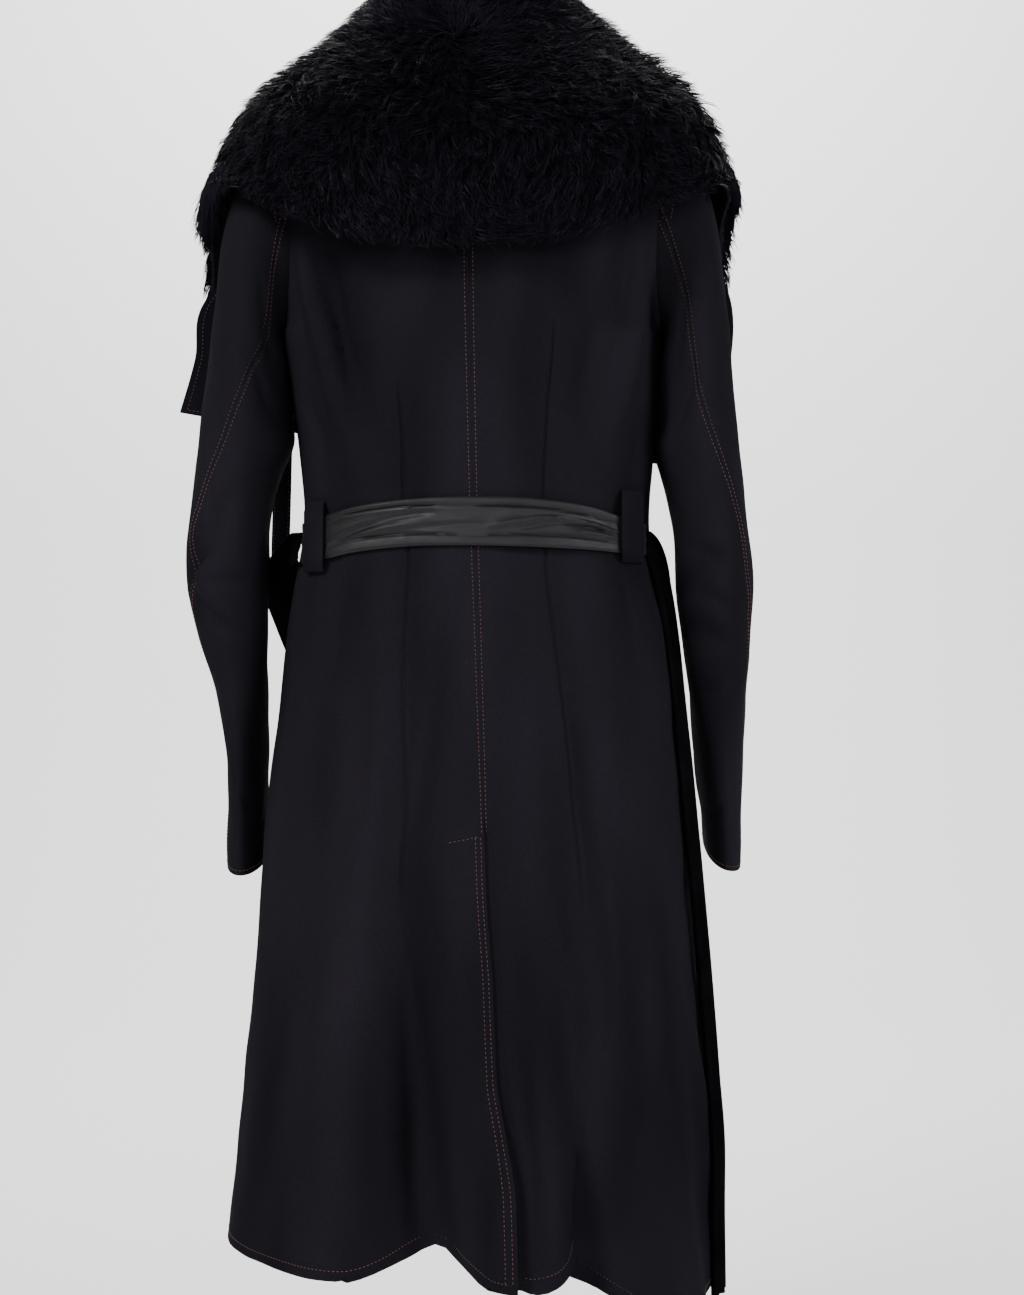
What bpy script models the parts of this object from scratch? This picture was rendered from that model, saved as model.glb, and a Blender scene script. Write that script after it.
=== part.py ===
"""A long dark wool coat with a wide fur collar, filled out and held up at its shoulders.

X runs to the wearer's right, Y to the wearer's front and Z up. The origin lies between the
shoulders, just above the neck seam. Sizes are in metres and turns are in degrees.
"""
import math
from collections import namedtuple

import bmesh
import bpy
import numpy as np

# Thicknesses and gaps
CLOTH = 0.0025
SEAM_GAP = 0.0003
SLEEVE_SEAM_GAP = 0.00048
LAPEL_GAP = 0.0005
LAPEL_CLOTH = 0.0035
UNDER_COLLAR_CLOTH = 0.002
LEATHER = 0.0028
STEP = 0.001

# The coat's section at each level, from the neck seam to the hem. A section runs from its
# back point over the edge, which is the shoulder seam, armhole or side seam, to its front point.
Section = namedtuple(
    "Section",
    "back_y back_z front_y front_z left_x right_x edge_z squareness left_front right_front")
SECTIONS = (
    Section(-0.062, -0.022, 0.066, -0.080, -0.072, 0.072, -0.008, 1.00, 0.046, 0.046),
    Section(-0.082, -0.056, 0.088, -0.112, -0.128, 0.128, -0.035, 0.95, 0.050, 0.050),
    Section(-0.099, -0.096, 0.102, -0.144, -0.182, 0.182, -0.062, 0.90, 0.054, 0.052),
    Section(-0.108, -0.136, 0.110, -0.178, -0.174, 0.174, -0.090, 1.15, 0.058, 0.054),
    Section(-0.112, -0.176, 0.114, -0.212, -0.162, 0.162, -0.150, 1.40, 0.062, 0.056),
    Section(-0.113, -0.216, 0.114, -0.240, -0.163, 0.163, -0.212, 1.15, 0.066, 0.058),
    Section(-0.112, -0.256, 0.112, -0.266, -0.168, 0.168, -0.240, 0.85, 0.068, 0.058),
    Section(-0.106, -0.305, 0.108, -0.312, -0.1635, 0.165, -0.292, 0.85, 0.070, 0.058),
    Section(-0.100, -0.355, 0.103, -0.358, -0.157, 0.161, -0.345, 0.85, 0.070, 0.056),
    Section(-0.096, -0.408, 0.100, -0.408, -0.152, 0.157, -0.408, 0.85, 0.070, 0.055),
    Section(-0.105, -0.462, 0.107, -0.462, -0.160, 0.162, -0.462, 0.84, 0.070, 0.055),
    Section(-0.118, -0.520, 0.116, -0.520, -0.169, 0.174, -0.520, 0.83, 0.069, 0.056),
    Section(-0.129, -0.590, 0.124, -0.592, -0.176, 0.181, -0.593, 0.82, 0.067, 0.057),
    Section(-0.139, -0.670, 0.131, -0.673, -0.185, 0.189, -0.675, 0.80, 0.064, 0.057),
    Section(-0.149, -0.760, 0.138, -0.764, -0.193, 0.198, -0.766, 0.78, 0.060, 0.056),
    Section(-0.160, -0.850, 0.144, -0.854, -0.2005, 0.205, -0.857, 0.77, 0.056, 0.055),
    Section(-0.171, -0.940, 0.150, -0.944, -0.2095, 0.211, -0.947, 0.76, 0.052, 0.054),
    Section(-0.183, -1.037, 0.156, -1.032, -0.2185, 0.212, -1.036, 0.75, 0.050, 0.053),
)
HEM = len(SECTIONS) - 1
SHOULDER_ROW = 2
UNDERARM_ROW = 6
ARMHOLE_DEPTH = 0.052
ARMHOLE_PINCH = 0.014
# How fast the armhole's depth dies away inside a panel: extra power and its range of turn
ARMHOLE_FADE = 1.5
ARMHOLE_FADE_START = 0.02
ARMHOLE_FADE_END = 0.35

# The centre back seam, which becomes the edge of the vent and wanders to the right
SeamPoint = namedtuple("SeamPoint", "drop x")
CENTRE_BACK = (
    SeamPoint(0.000, -0.004), SeamPoint(0.160, -0.003), SeamPoint(0.390, 0.001),
    SeamPoint(0.560, 0.007), SeamPoint(0.677, 0.011), SeamPoint(0.727, 0.013),
    SeamPoint(0.793, 0.018), SeamPoint(0.880, 0.022), SeamPoint(0.920, 0.030),
    SeamPoint(0.960, 0.037), SeamPoint(1.050, 0.039),
)
VENT_TOP = 0.677
VENT_LAP = 0.032
VENT_CLEARANCE = 0.0012
VENT_FLARE = 0.015

# The hem's flutes: turn at the start and at the hem, drop at the start, half width, depth
Flute = namedtuple("Flute", "turn_start turn_hem start width depth")
FLUTES = (
    Flute(-26, -11, 0.58, 11, -0.064),
    Flute(17, 33, 0.58, 9, -0.066),
    Flute(40, 53, 0.60, 9, 0.024),
    Flute(-36, -34, 0.66, 12, 0.006),
    Flute(104, 110, 0.66, 11, -0.022),
    Flute(128, 134, 0.62, 12, 0.016),
    Flute(150, 153, 0.70, 9, -0.018),
    Flute(-102, -108, 0.64, 12, -0.024),
    Flute(-130, -134, 0.66, 12, 0.014),
    Flute(-152, -154, 0.70, 9, -0.016),
)

FLUTE_GROWTH = 1.4
# The hem rises in the troughs by this share of their depth, from one drop to another
TROUGH_RISE = 0.27
RISE_START = 0.6
RISE_END = 1.0

# The hem hangs lower at the wearer's right
HEM_DIP = 0.032

# Long soft folds beside the arms, on the back
BladeFold = namedtuple("BladeFold", "x_top drop_top x_end drop_end width depth")
BLADE_FOLDS = (
    BladeFold(-0.149, 0.160, -0.103, 0.362, 0.010, 0.0045),
    BladeFold(0.146, 0.168, 0.102, 0.350, 0.010, 0.0038),
    BladeFold(-0.134, 0.150, -0.090, 0.335, 0.011, -0.0060),
    BladeFold(0.136, 0.150, 0.086, 0.335, 0.011, -0.0060),
)

# A sleeve's rings from the armhole to the cuff, by their outer and inner points
Ring = namedtuple("Ring", "outer_x outer_z inner_x inner_z middle_y half_depth pinch seam")
SLEEVE_RIGHT = (
    Ring(0.1828, -0.062, 0.1688, -0.2405, 0.000, 0.0520, 0.014, 82),
    Ring(0.1995, -0.079, 0.1692, -0.2540, 0.000, 0.0590, 0.008, 97),
    Ring(0.2140, -0.119, 0.1690, -0.2700, 0.000, 0.0650, 0.003, 103),
    Ring(0.2235, -0.172, 0.1688, -0.2900, 0.000, 0.0685, 0.000, 106),
    Ring(0.2285, -0.232, 0.1685, -0.3160, 0.000, 0.0695, 0.000, 102),
    Ring(0.2320, -0.288, 0.1660, -0.3440, 0.000, 0.0685, 0.000, 88),
    Ring(0.2370, -0.338, 0.1715, -0.3780, -0.002, 0.0665, 0.000, 74),
    Ring(0.2425, -0.388, 0.1780, -0.4130, -0.004, 0.0645, 0.000, 56),
    Ring(0.2480, -0.434, 0.1805, -0.4480, -0.004, 0.0630, 0.000, 43),
    Ring(0.2505, -0.476, 0.1835, -0.4810, 0.000, 0.0620, 0.000, 36),
    Ring(0.2490, -0.518, 0.1880, -0.5170, 0.008, 0.0605, 0.000, 32),
    Ring(0.2475, -0.562, 0.1935, -0.5590, 0.020, 0.0595, 0.000, 29),
    Ring(0.2465, -0.606, 0.1990, -0.6020, 0.034, 0.0585, 0.000, 26),
    Ring(0.2450, -0.650, 0.2045, -0.6450, 0.048, 0.0575, 0.000, 24),
    Ring(0.2450, -0.686, 0.2095, -0.6760, 0.058, 0.0570, 0.000, 22),
    Ring(0.2460, -0.7150, 0.2120, -0.7050, 0.064, 0.0565, 0.000, 22),
)
SLEEVE_LEFT = (
    Ring(-0.1828, -0.062, -0.1688, -0.2405, 0.000, 0.0520, 0.014, 78),
    Ring(-0.1995, -0.079, -0.1692, -0.2540, 0.000, 0.0590, 0.008, 104),
    Ring(-0.2165, -0.119, -0.1690, -0.2700, 0.000, 0.0650, 0.003, 124),
    Ring(-0.2280, -0.172, -0.1682, -0.2900, 0.000, 0.0685, 0.000, 121),
    Ring(-0.2345, -0.232, -0.1665, -0.3160, 0.000, 0.0695, 0.000, 103),
    Ring(-0.2405, -0.288, -0.1660, -0.3400, 0.000, 0.0685, 0.000, 86),
    Ring(-0.2450, -0.338, -0.1760, -0.3720, -0.002, 0.0665, 0.000, 74),
    Ring(-0.2520, -0.388, -0.1830, -0.4100, -0.004, 0.0645, 0.000, 54),
    Ring(-0.2585, -0.430, -0.1845, -0.4470, -0.004, 0.0630, 0.000, 30),
    Ring(-0.2600, -0.466, -0.1855, -0.4800, 0.000, 0.0620, 0.000, 24),
    Ring(-0.2495, -0.508, -0.1860, -0.5150, 0.008, 0.0605, 0.000, 22),
    Ring(-0.2360, -0.552, -0.1865, -0.5560, 0.020, 0.0595, 0.000, 21),
    Ring(-0.2290, -0.600, -0.1885, -0.6000, 0.034, 0.0585, 0.000, 20),
    Ring(-0.2275, -0.646, -0.1910, -0.6440, 0.048, 0.0575, 0.000, 20),
    Ring(-0.2290, -0.684, -0.1930, -0.6840, 0.058, 0.0570, 0.000, 20),
    Ring(-0.2305, -0.7145, -0.1935, -0.7155, 0.064, 0.0565, 0.000, 20),
)
CUFF = len(SLEEVE_RIGHT) - 1
# The forearm's rings lean with it, lower at the back, from one ring to another
RING_LEAN = 0.20
LEAN_START = 9
LEAN_END = 13
FRONT_SEAM_TURN = -128

# Creases on the back of a sleeve, by the line that each one follows
SleeveCrease = namedtuple("SleeveCrease", "side x_start z_start x_end z_end width depth")
SLEEVE_CREASES = (
    SleeveCrease(-1, -0.262, -0.457, -0.200, -0.378, 0.010, -0.010),
    SleeveCrease(-1, -0.262, -0.457, -0.222, -0.505, 0.009, -0.006),
    SleeveCrease(1, 0.178, -0.470, 0.226, -0.432, 0.010, -0.005),
    SleeveCrease(1, 0.180, -0.500, 0.232, -0.520, 0.010, -0.004),
    SleeveCrease(-1, -0.170, -0.330, -0.200, -0.250, 0.012, -0.004),
    SleeveCrease(1, 0.170, -0.330, 0.200, -0.250, 0.012, -0.004),
)

# The collar from the centre back to its front end: the middle of its fold, its lower edge on
# each side, and the turn and row of the neck seam under it
Station = namedtuple(
    "Station",
    "fold_x fold_y fold_z right_x right_y right_z left_x left_y left_z neck_turn neck_row")
COLLAR = (
    Station(0.000, -0.068, 0.072, 0.000, -0.142, -0.178, 0.000, -0.142, -0.178, 0, 0.0),
    Station(0.034, -0.062, 0.074, 0.072, -0.140, -0.170, -0.074, -0.140, -0.174, 24, 0.0),
    Station(0.056, -0.044, 0.073, 0.145, -0.124, -0.146, -0.152, -0.122, -0.148, 48, 0.0),
    Station(0.066, -0.018, 0.069, 0.213, -0.082, -0.118, -0.209, -0.080, -0.120, 70, 0.0),
    Station(0.070, 0.012, 0.056, 0.238, -0.010, -0.110, -0.243, -0.010, -0.110, 90, 0.0),
    Station(0.073, 0.040, 0.030, 0.239, 0.066, -0.124, -0.254, 0.060, -0.124, 108, 0.0),
    Station(0.072, 0.062, 0.004, 0.243, 0.122, -0.170, -0.260, 0.118, -0.190, 124, 0.0),
    Station(0.067, 0.082, -0.020, 0.240, 0.148, -0.238, -0.262, 0.142, -0.272, 133, 0.0),
    Station(0.060, 0.099, -0.050, 0.172, 0.172, -0.262, -0.186, 0.172, -0.298, 139, 0.05),
)
COLLAR_END = len(COLLAR) - 1
FOLD_RADIUS = 0.014
COLLAR_CENTRE_Y = 0.012
STAND_MIDDLE = 0.55
COLLAR_BULGE = 0.024
# Two points of the fall, as shares of its length and of the bulge
FALL_UPPER = 0.33
BULGE_UPPER = 0.60
FALL_LOWER = 0.68
BULGE_LOWER = 1.13
STAND_INSET = 0.0050
FOOT_LIFT = 0.0004
FOOT_RISE = 0.007
# The pile's depth along the profile: neck seam, stand, three points of the fold, fall, edge
PILE = (0.006, 0.007, 0.008, 0.008, 0.010, 0.020, 0.021, 0.010)
PROFILE_END = len(PILE) - 1
UNDER_COLLAR_START = 5.0
UNDER_COLLAR_LIP = 0.06
PROBE = 0.02

# The lapels' free edges, from the collar to the lower corner
LapelPoint = namedtuple("LapelPoint", "row left_x left_y left_z right_x right_y right_z")
LAPEL = (
    LapelPoint(1.50, -0.196, 0.082, -0.130, 0.204, 0.082, -0.130),
    LapelPoint(3.50, -0.257, 0.084, -0.195, 0.240, 0.084, -0.190),
    LapelPoint(5.50, -0.266, 0.087, -0.246, 0.239, 0.086, -0.262),
    LapelPoint(7.50, -0.281, 0.091, -0.297, 0.218, 0.088, -0.350),
)
LAPEL_BULGE = 0.006
LAPEL_LIFT = 0.003
LAPEL_SEAT = 0.0008

# The strap end that hangs behind the left lapel
TAB_WIDTH = 0.017
TAB_TOP = (-0.183, 0.0958, -0.297)
TAB_END = (-0.187, 0.0985, -0.440)
TAB_POINT = 0.011
TAB_BOW = 0.0015

# The leather belt across the back, from the left loop to the right one
BeltPoint = namedtuple("BeltPoint", "x middle_drop half_height")
BELT = (
    BeltPoint(-0.1470, 0.4290, 0.0190), BeltPoint(-0.1000, 0.4190, 0.0200),
    BeltPoint(-0.0500, 0.4140, 0.0205), BeltPoint(0.0000, 0.4130, 0.0210),
    BeltPoint(0.0500, 0.4140, 0.0210), BeltPoint(0.1000, 0.4180, 0.0190),
    BeltPoint(0.1480, 0.4260, 0.0140),
)
BELT_LIFT = 0.0014
BELT_PLEAT = 0.0012
BELT_PLEATS = 2.5

# The belt's free ends: the middle, the direction of the width and half of the width
StrapPoint = namedtuple("StrapPoint", "x y z across_x across_y across_z half_width")
BELT_END_RIGHT = (
    StrapPoint(0.1539, -0.0365, -0.4262, -0.05, 0.34, 0.94, 0.012),
    StrapPoint(0.1596, -0.0295, -0.4340, 0.30, 0.52, 0.80, 0.013),
    StrapPoint(0.1650, -0.0268, -0.4500, 0.50, 0.75, 0.40, 0.014),
    StrapPoint(0.1692, -0.0266, -0.4690, 0.50, 0.86, 0.10, 0.014),
    StrapPoint(0.1735, -0.0270, -0.4930, 0.40, 0.92, -0.05, 0.015),
    StrapPoint(0.1784, -0.0320, -0.5350, 0.30, 0.95, 0.00, 0.016),
    StrapPoint(0.1833, -0.0370, -0.5850, 0.28, 0.96, 0.00, 0.016),
    StrapPoint(0.1874, -0.0420, -0.6300, 0.28, 0.96, 0.00, 0.016),
    StrapPoint(0.1917, -0.0490, -0.6850, 0.28, 0.96, 0.00, 0.016),
    StrapPoint(0.1978, -0.0540, -0.7500, 0.28, 0.96, 0.00, 0.016),
    StrapPoint(0.2040, -0.0580, -0.8200, 0.28, 0.96, 0.00, 0.016),
    StrapPoint(0.2096, -0.0620, -0.8900, 0.28, 0.96, 0.00, 0.016),
    StrapPoint(0.2138, -0.0650, -0.9500, 0.28, 0.96, 0.00, 0.016),
    StrapPoint(0.2135, -0.0680, -1.0100, 0.28, 0.96, 0.00, 0.016),
    StrapPoint(0.2140, -0.0710, -1.0760, 0.28, 0.96, 0.00, 0.016),
)
BELT_END_LEFT = (
    StrapPoint(-0.1540, -0.0370, -0.4290, -0.02, 0.34, 0.94, 0.014),
    StrapPoint(-0.1640, -0.0150, -0.4350, 0.05, 0.10, 0.98, 0.017),
    StrapPoint(-0.1740, 0.0150, -0.4480, -0.25, 0.00, 0.96, 0.018),
    StrapPoint(-0.1860, 0.0480, -0.4600, -0.45, 0.05, 0.88, 0.019),
    StrapPoint(-0.1880, 0.0800, -0.4780, -0.60, 0.25, 0.70, 0.019),
    StrapPoint(-0.1780, 0.1040, -0.5060, -0.70, 0.55, 0.40, 0.019),
    StrapPoint(-0.1600, 0.1180, -0.5480, -0.80, 0.55, 0.05, 0.019),
    StrapPoint(-0.1450, 0.1290, -0.6100, -0.85, 0.50, 0.00, 0.019),
    StrapPoint(-0.1370, 0.1380, -0.6900, -0.88, 0.45, 0.00, 0.019),
    StrapPoint(-0.1330, 0.1460, -0.7800, -0.90, 0.42, 0.00, 0.019),
    StrapPoint(-0.1310, 0.1540, -0.8700, -0.90, 0.42, 0.00, 0.019),
    StrapPoint(-0.1300, 0.1620, -0.9500, -0.90, 0.42, 0.00, 0.019),
)
STRAP_PLEAT = 0.0010
STRAP_PLEATS = 1.5

# The belt loops: middle across the back, upper and lower end, and width
BeltLoop = namedtuple("BeltLoop", "name x drop_top drop_end width")
BELT_LOOPS = (
    BeltLoop("belt_loop_left", -0.1370, 0.392, 0.455, 0.0165),
    BeltLoop("belt_loop_right", 0.1375, 0.383, 0.447, 0.0180),
)
LOOP_CLEARANCE = 0.0068
LOOP_SEAT = 0.0007
LOOP_CLOTH = 0.0022
LOOP_SQUARENESS = 2.2
# The raised part leans this far towards the middle, so that the sides look straight from behind
LOOP_DRAW = 0.0045

# How fine the panels are: rows by their first row, last row and step
RowSpan = namedtuple("RowSpan", "start end step")
ROW_SPANS = (
    RowSpan(0, UNDERARM_ROW, 0.5), RowSpan(UNDERARM_ROW, 8.5, 0.5), RowSpan(8.5, 10, 0.25),
    RowSpan(10, 13, 0.5),
)
LOW_ROWS = RowSpan(14, HEM + 0.01, 0.5)
VENT_ROWS = (-0.25, 0, 0.035, 0.3)
SLEEVE_SPANS = (RowSpan(0, 7, 0.75), RowSpan(7, 10.5, 0.5), RowSpan(10.5, CUFF, 0.9))

# Where the columns of each back panel lie, from the vent's lap to the side seam
BACK_COLUMNS = {
    -1: (0.06, 0.12, 0.19, 0.27, 0.37, 0.48, 0.61, 0.74, 0.87, 1),
    1: (0.10, 0.20, 0.28, 0.35, 0.42, 0.49, 0.60, 0.73, 0.87, 1),
}
FRONT_COLUMNS = 10
SLEEVE_COLUMNS = {"sleeve_upper": 9, "sleeve_under": 8}
COLLAR_STATIONS = 33
COLLAR_PLACES = (0, 1, 2, 2.5, 3, 3.5, 4, 4.5, 5, 5.5, 6, 6.5, 7)
UNDER_COLLAR_PLACES = (UNDER_COLLAR_START, 5.5, 6, 6.5, 7, 7 + UNDER_COLLAR_LIP)
LAPEL_COLUMNS = (0, 0.06, 0.15, 0.3, 0.5, 0.75, 1)
LAPEL_STEP = 0.5
TAB_ROWS = 8
TAB_COLUMNS = 4
BELT_POINTS = 25
BELT_COLUMNS = 7
STRAP_COLUMNS = 5
LOOP_ROWS = 9
LOOP_COLUMNS = 3

# Colour and roughness of each cloth
WOOL = ((0.012, 0.012, 0.014), 0.85)
FUR = ((0.008, 0.008, 0.011), 0.9)
LEATHER_FINISH = ((0.03, 0.031, 0.036), 0.42)


def spline(table, place):
    """Smooth curve through a table's rows at whole numbers of place."""
    rows = np.asarray(table, dtype=float)
    place = np.clip(np.asarray(place, dtype=float), 0, len(rows) - 1)
    low = np.clip(place.astype(int), 0, len(rows) - 2)
    part = (place - low)[..., None]
    before = rows[np.maximum(low - 1, 0)]
    first = rows[low]
    second = rows[low + 1]
    after = rows[np.minimum(low + 2, len(rows) - 1)]
    return 0.5 * (
        2 * first + (second - before) * part
        + (2 * before - 5 * first + 4 * second - after) * part ** 2
        + (3 * first - before - 3 * second + after) * part ** 3)


def keyed_spline(table, key):
    """Smooth curve through a table whose first column is its rising key."""
    keys = [row[0] for row in table]
    place = np.interp(key, keys, range(len(keys)))
    return spline(table, place)


def smooth_step(value, start, end):
    """0 before start, 1 after end and a soft rise between them."""
    part = np.clip((value - start) / (end - start), 0, 1)
    return part * part * (3 - 2 * part)


def unit(vectors):
    return vectors / np.maximum(np.linalg.norm(vectors, axis=-1, keepdims=True), 1e-12)


def edge_points(row, side, front, inward=0.0):
    """Shoulder seam, armhole or side seam, on the back or front half.

    Inward softens the armhole's depth for points of the panel beside it."""
    table = spline(SECTIONS, row)
    x = np.where(side > 0, table[..., 5], table[..., 4])
    z = table[..., 6]
    top = SECTIONS[SHOULDER_ROW]
    low = SECTIONS[UNDERARM_ROW]
    span = np.clip((row - SHOULDER_ROW) / (UNDERARM_ROW - SHOULDER_ROW), 0, 1)
    turn = math.pi * span
    in_armhole = (span > 0) & (span < 1)
    middle_x = (top.right_x + low.right_x) / 2
    half_x = (top.right_x - low.right_x) / 2
    middle_z = (top.edge_z + low.edge_z) / 2
    half_z = (top.edge_z - low.edge_z) / 2
    hole_x = middle_x + half_x * np.cos(turn) - ARMHOLE_PINCH * np.sin(turn) ** 2
    hole_z = middle_z + half_z * np.cos(turn)
    hole_y = ARMHOLE_DEPTH * np.sin(turn) ** (1 + inward) * np.where(front, 1, -1)
    x = np.where(in_armhole, side * hole_x, x)
    y = np.where(in_armhole, hole_y, 0.0)
    z = np.where(in_armhole, hole_z, z)
    return x, y, z


def plain_coat(row, turn, front):
    """The coat's outer face without its folds, at a row and a turn from the centre back."""
    row = np.clip(np.asarray(row, dtype=float), 0, HEM)
    turn = np.asarray(turn, dtype=float)
    side = np.where(turn < 0, -1.0, 1.0)
    opening = np.abs(turn)
    joined = (row <= SHOULDER_ROW) | (row >= UNDERARM_ROW)
    quarter = math.pi / 2
    front_now = np.where(joined, opening > quarter, front)
    opening = np.where(joined, opening, np.where(
        front, np.maximum(opening, quarter), np.minimum(opening, quarter)))
    table = spline(SECTIONS, row)
    inward = ARMHOLE_FADE * smooth_step(
        np.abs(opening - quarter), ARMHOLE_FADE_START, ARMHOLE_FADE_END)
    edge_x, edge_y, edge_z = edge_points(row, side, front_now, inward)
    middle_y = np.where(front_now, table[..., 2], table[..., 0])
    middle_z = np.where(front_now, table[..., 3], table[..., 1])
    seam_x = np.where(front_now, 0.0, keyed_spline(CENTRE_BACK, -table[..., 1])[..., 1])
    across = np.abs(np.cos(opening))
    x = seam_x + (edge_x - seam_x) * np.sin(opening)
    y = edge_y + (middle_y - edge_y) * across ** table[..., 7]
    z = edge_z + (middle_z - edge_z) * across ** 2
    z = z - HEM_DIP * smooth_step(x, 0.102, 0.126) * smooth_step(-z, 0.90, 1.03)
    return np.stack([x, y, z], axis=-1)


def outward(place, row, turn, front):
    """Outward unit normals of a surface given as place(row, turn, front)."""
    down = place(row + STEP, turn, front) - place(row - STEP, turn, front)
    around = place(row, turn + STEP, front) - place(row, turn - STEP, front)
    return unit(np.cross(down, around))


def fold_depth(points, turn, front, panel):
    """How far the folds move each point out, in or not at all."""
    x = points[..., 0]
    drop = -points[..., 2]
    edge = np.interp(drop, [-row.edge_z for row in SECTIONS[UNDERARM_ROW:]],
                     [row.right_x for row in SECTIONS[UNDERARM_ROW:]])
    round_turn = np.degrees(np.arcsin(np.clip(x / edge, -1, 1)))
    round_turn = np.where(front, np.sign(turn) * 180 - round_turn, round_turn)
    depth = np.zeros_like(x)
    hem_drop = -SECTIONS[HEM].back_z
    for flute in FLUTES:
        grown = np.clip((drop - flute.start) / (hem_drop - flute.start), 0, 1.05)
        middle = flute.turn_start + (flute.turn_hem - flute.turn_start) * grown
        away = (round_turn - middle) / flute.width
        depth += flute.depth * grown ** FLUTE_GROWTH * np.exp(-away ** 2)
    for fold in BLADE_FOLDS:
        along = (drop - fold.drop_top) / (fold.drop_end - fold.drop_top)
        middle = fold.x_top + (fold.x_end - fold.x_top) * along
        away = (x - middle) / fold.width
        fade = smooth_step(along, -0.1, 0.25) * (1 - smooth_step(along, 0.7, 1.1))
        depth += np.where(front, 0, fold.depth * fade * np.exp(-away ** 2))
    seam = keyed_spline(CENTRE_BACK, drop)[..., 1]
    if panel == "back_left":
        flare = smooth_step(drop, 0.84, 1.04) * np.exp(-((x - seam) / 0.026) ** 2)
        depth += VENT_FLARE * flare
    if panel == "back_right":
        under = smooth_step(drop, VENT_TOP - 0.022, VENT_TOP - 0.001)
        under = under * (1 - smooth_step(x - seam, 0.002, 0.013))
        depth -= (CLOTH + VENT_CLEARANCE) * under
    return depth


def coat_surface(panel):
    """The folded outer face of one panel as a function of row, turn and half."""
    def place(row, turn, front):
        points = plain_coat(row, turn, front)
        depth = fold_depth(points, turn, front, panel)
        level = outward(plain_coat, row, turn, front) * np.array([1.0, 1.0, 0.0])
        rise = np.maximum(-depth, 0) * TROUGH_RISE
        rise = rise * smooth_step(-points[..., 2], RISE_START, RISE_END)
        return points + unit(level) * depth[..., None] + rise[..., None] * np.array([0.0, 0.0, 1.0])
    return place


def find_on_back(x, drop):
    """Row and turn of the point of the back at x and at a height."""
    x = np.asarray(x, dtype=float)
    drop = np.asarray(drop, dtype=float)
    low = np.zeros_like(x + drop)
    high = np.full_like(low, HEM)
    turn = np.zeros_like(low)
    for _ in range(30):
        row = (low + high) / 2
        side = np.where(x < 0, -1.0, 1.0)
        edge_x = edge_points(row, side, np.zeros_like(row, dtype=bool))[0]
        seam = keyed_spline(CENTRE_BACK, drop)[..., 1]
        turn = np.arcsin(np.clip((x - seam) / np.abs(edge_x - seam), -1, 1))
        above = plain_coat(row, turn, np.zeros_like(row, dtype=bool))[..., 2] > -drop
        low = np.where(above, row, low)
        high = np.where(above, high, row)
    return (low + high) / 2, turn


def lifted_back(x, drop, lift):
    """Points over the back at x and at a height, moved out by lift."""
    row, turn = find_on_back(x, drop)
    front = np.zeros_like(row, dtype=bool)
    place = coat_surface("")
    return place(row, turn, front) + outward(place, row, turn, front) * np.asarray(lift)[..., None]


def make_material(name, colour, roughness):
    material = bpy.data.materials.new(name)
    material.use_nodes = True
    shader = material.node_tree.nodes["Principled BSDF"]
    shader.inputs["Base Color"].default_value = (*colour, 1)
    shader.inputs["Roughness"].default_value = roughness
    shader.inputs["Metallic"].default_value = 0.0
    return material


def add_body(name, outer, inner, colour, roughness):
    """A closed wall between two grids of points that have the same rows and columns."""
    rows, columns = outer.shape[:2]
    shell = bmesh.new()
    grids = []
    for grid in (outer, inner):
        grids.append([[shell.verts.new(grid[i, j]) for j in range(columns)] for i in range(rows)])
    face_out, face_in = grids
    for i in range(rows - 1):
        for j in range(columns - 1):
            k = j + 1
            shell.faces.new((face_out[i][j], face_out[i + 1][j], face_out[i + 1][k]))
            shell.faces.new((face_out[i][j], face_out[i + 1][k], face_out[i][k]))
            shell.faces.new((face_in[i][j], face_in[i + 1][k], face_in[i + 1][j]))
            shell.faces.new((face_in[i][j], face_in[i][k], face_in[i + 1][k]))
    for i in (0, rows - 1):
        for j in range(columns - 1):
            k = j + 1
            shell.faces.new((face_out[i][j], face_out[i][k], face_in[i][k], face_in[i][j]))
    for j in (0, columns - 1):
        for i in range(rows - 1):
            shell.faces.new((face_out[i][j], face_out[i + 1][j], face_in[i + 1][j], face_in[i][j]))
    bmesh.ops.recalc_face_normals(shell, faces=shell.faces)
    if shell.calc_volume(signed=True) < 0:
        bmesh.ops.reverse_faces(shell, faces=shell.faces)
    bmesh.ops.triangulate(shell, faces=[face for face in shell.faces if len(face.verts) > 3])
    mesh = bpy.data.meshes.new(name)
    shell.to_mesh(mesh)
    shell.free()
    mesh.shade_smooth()
    mesh.set_sharp_from_angle(angle=math.radians(50))
    mesh.materials.append(make_material(name + "_finish", colour, roughness))
    body = bpy.data.objects.new(name, mesh)
    bpy.context.scene.collection.objects.link(body)
    return body


def side_gap(row, half_y):
    """The turn that keeps half a seam gap at the side seam."""
    squareness = spline(SECTIONS, row)[..., 7]
    return (SEAM_GAP / 2 / np.abs(half_y)) ** (1 / squareness)


def panel_rows():
    """The rows of the panels, and the row at the top of the vent."""
    vent_row = float(np.interp(VENT_TOP, [-row.back_z for row in SECTIONS], range(HEM + 1)))
    rows = [np.arange(*span) for span in ROW_SPANS]
    rows.append(vent_row + np.array(VENT_ROWS))
    rows.append(np.arange(*LOW_ROWS))
    return np.concatenate(rows), vent_row


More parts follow.
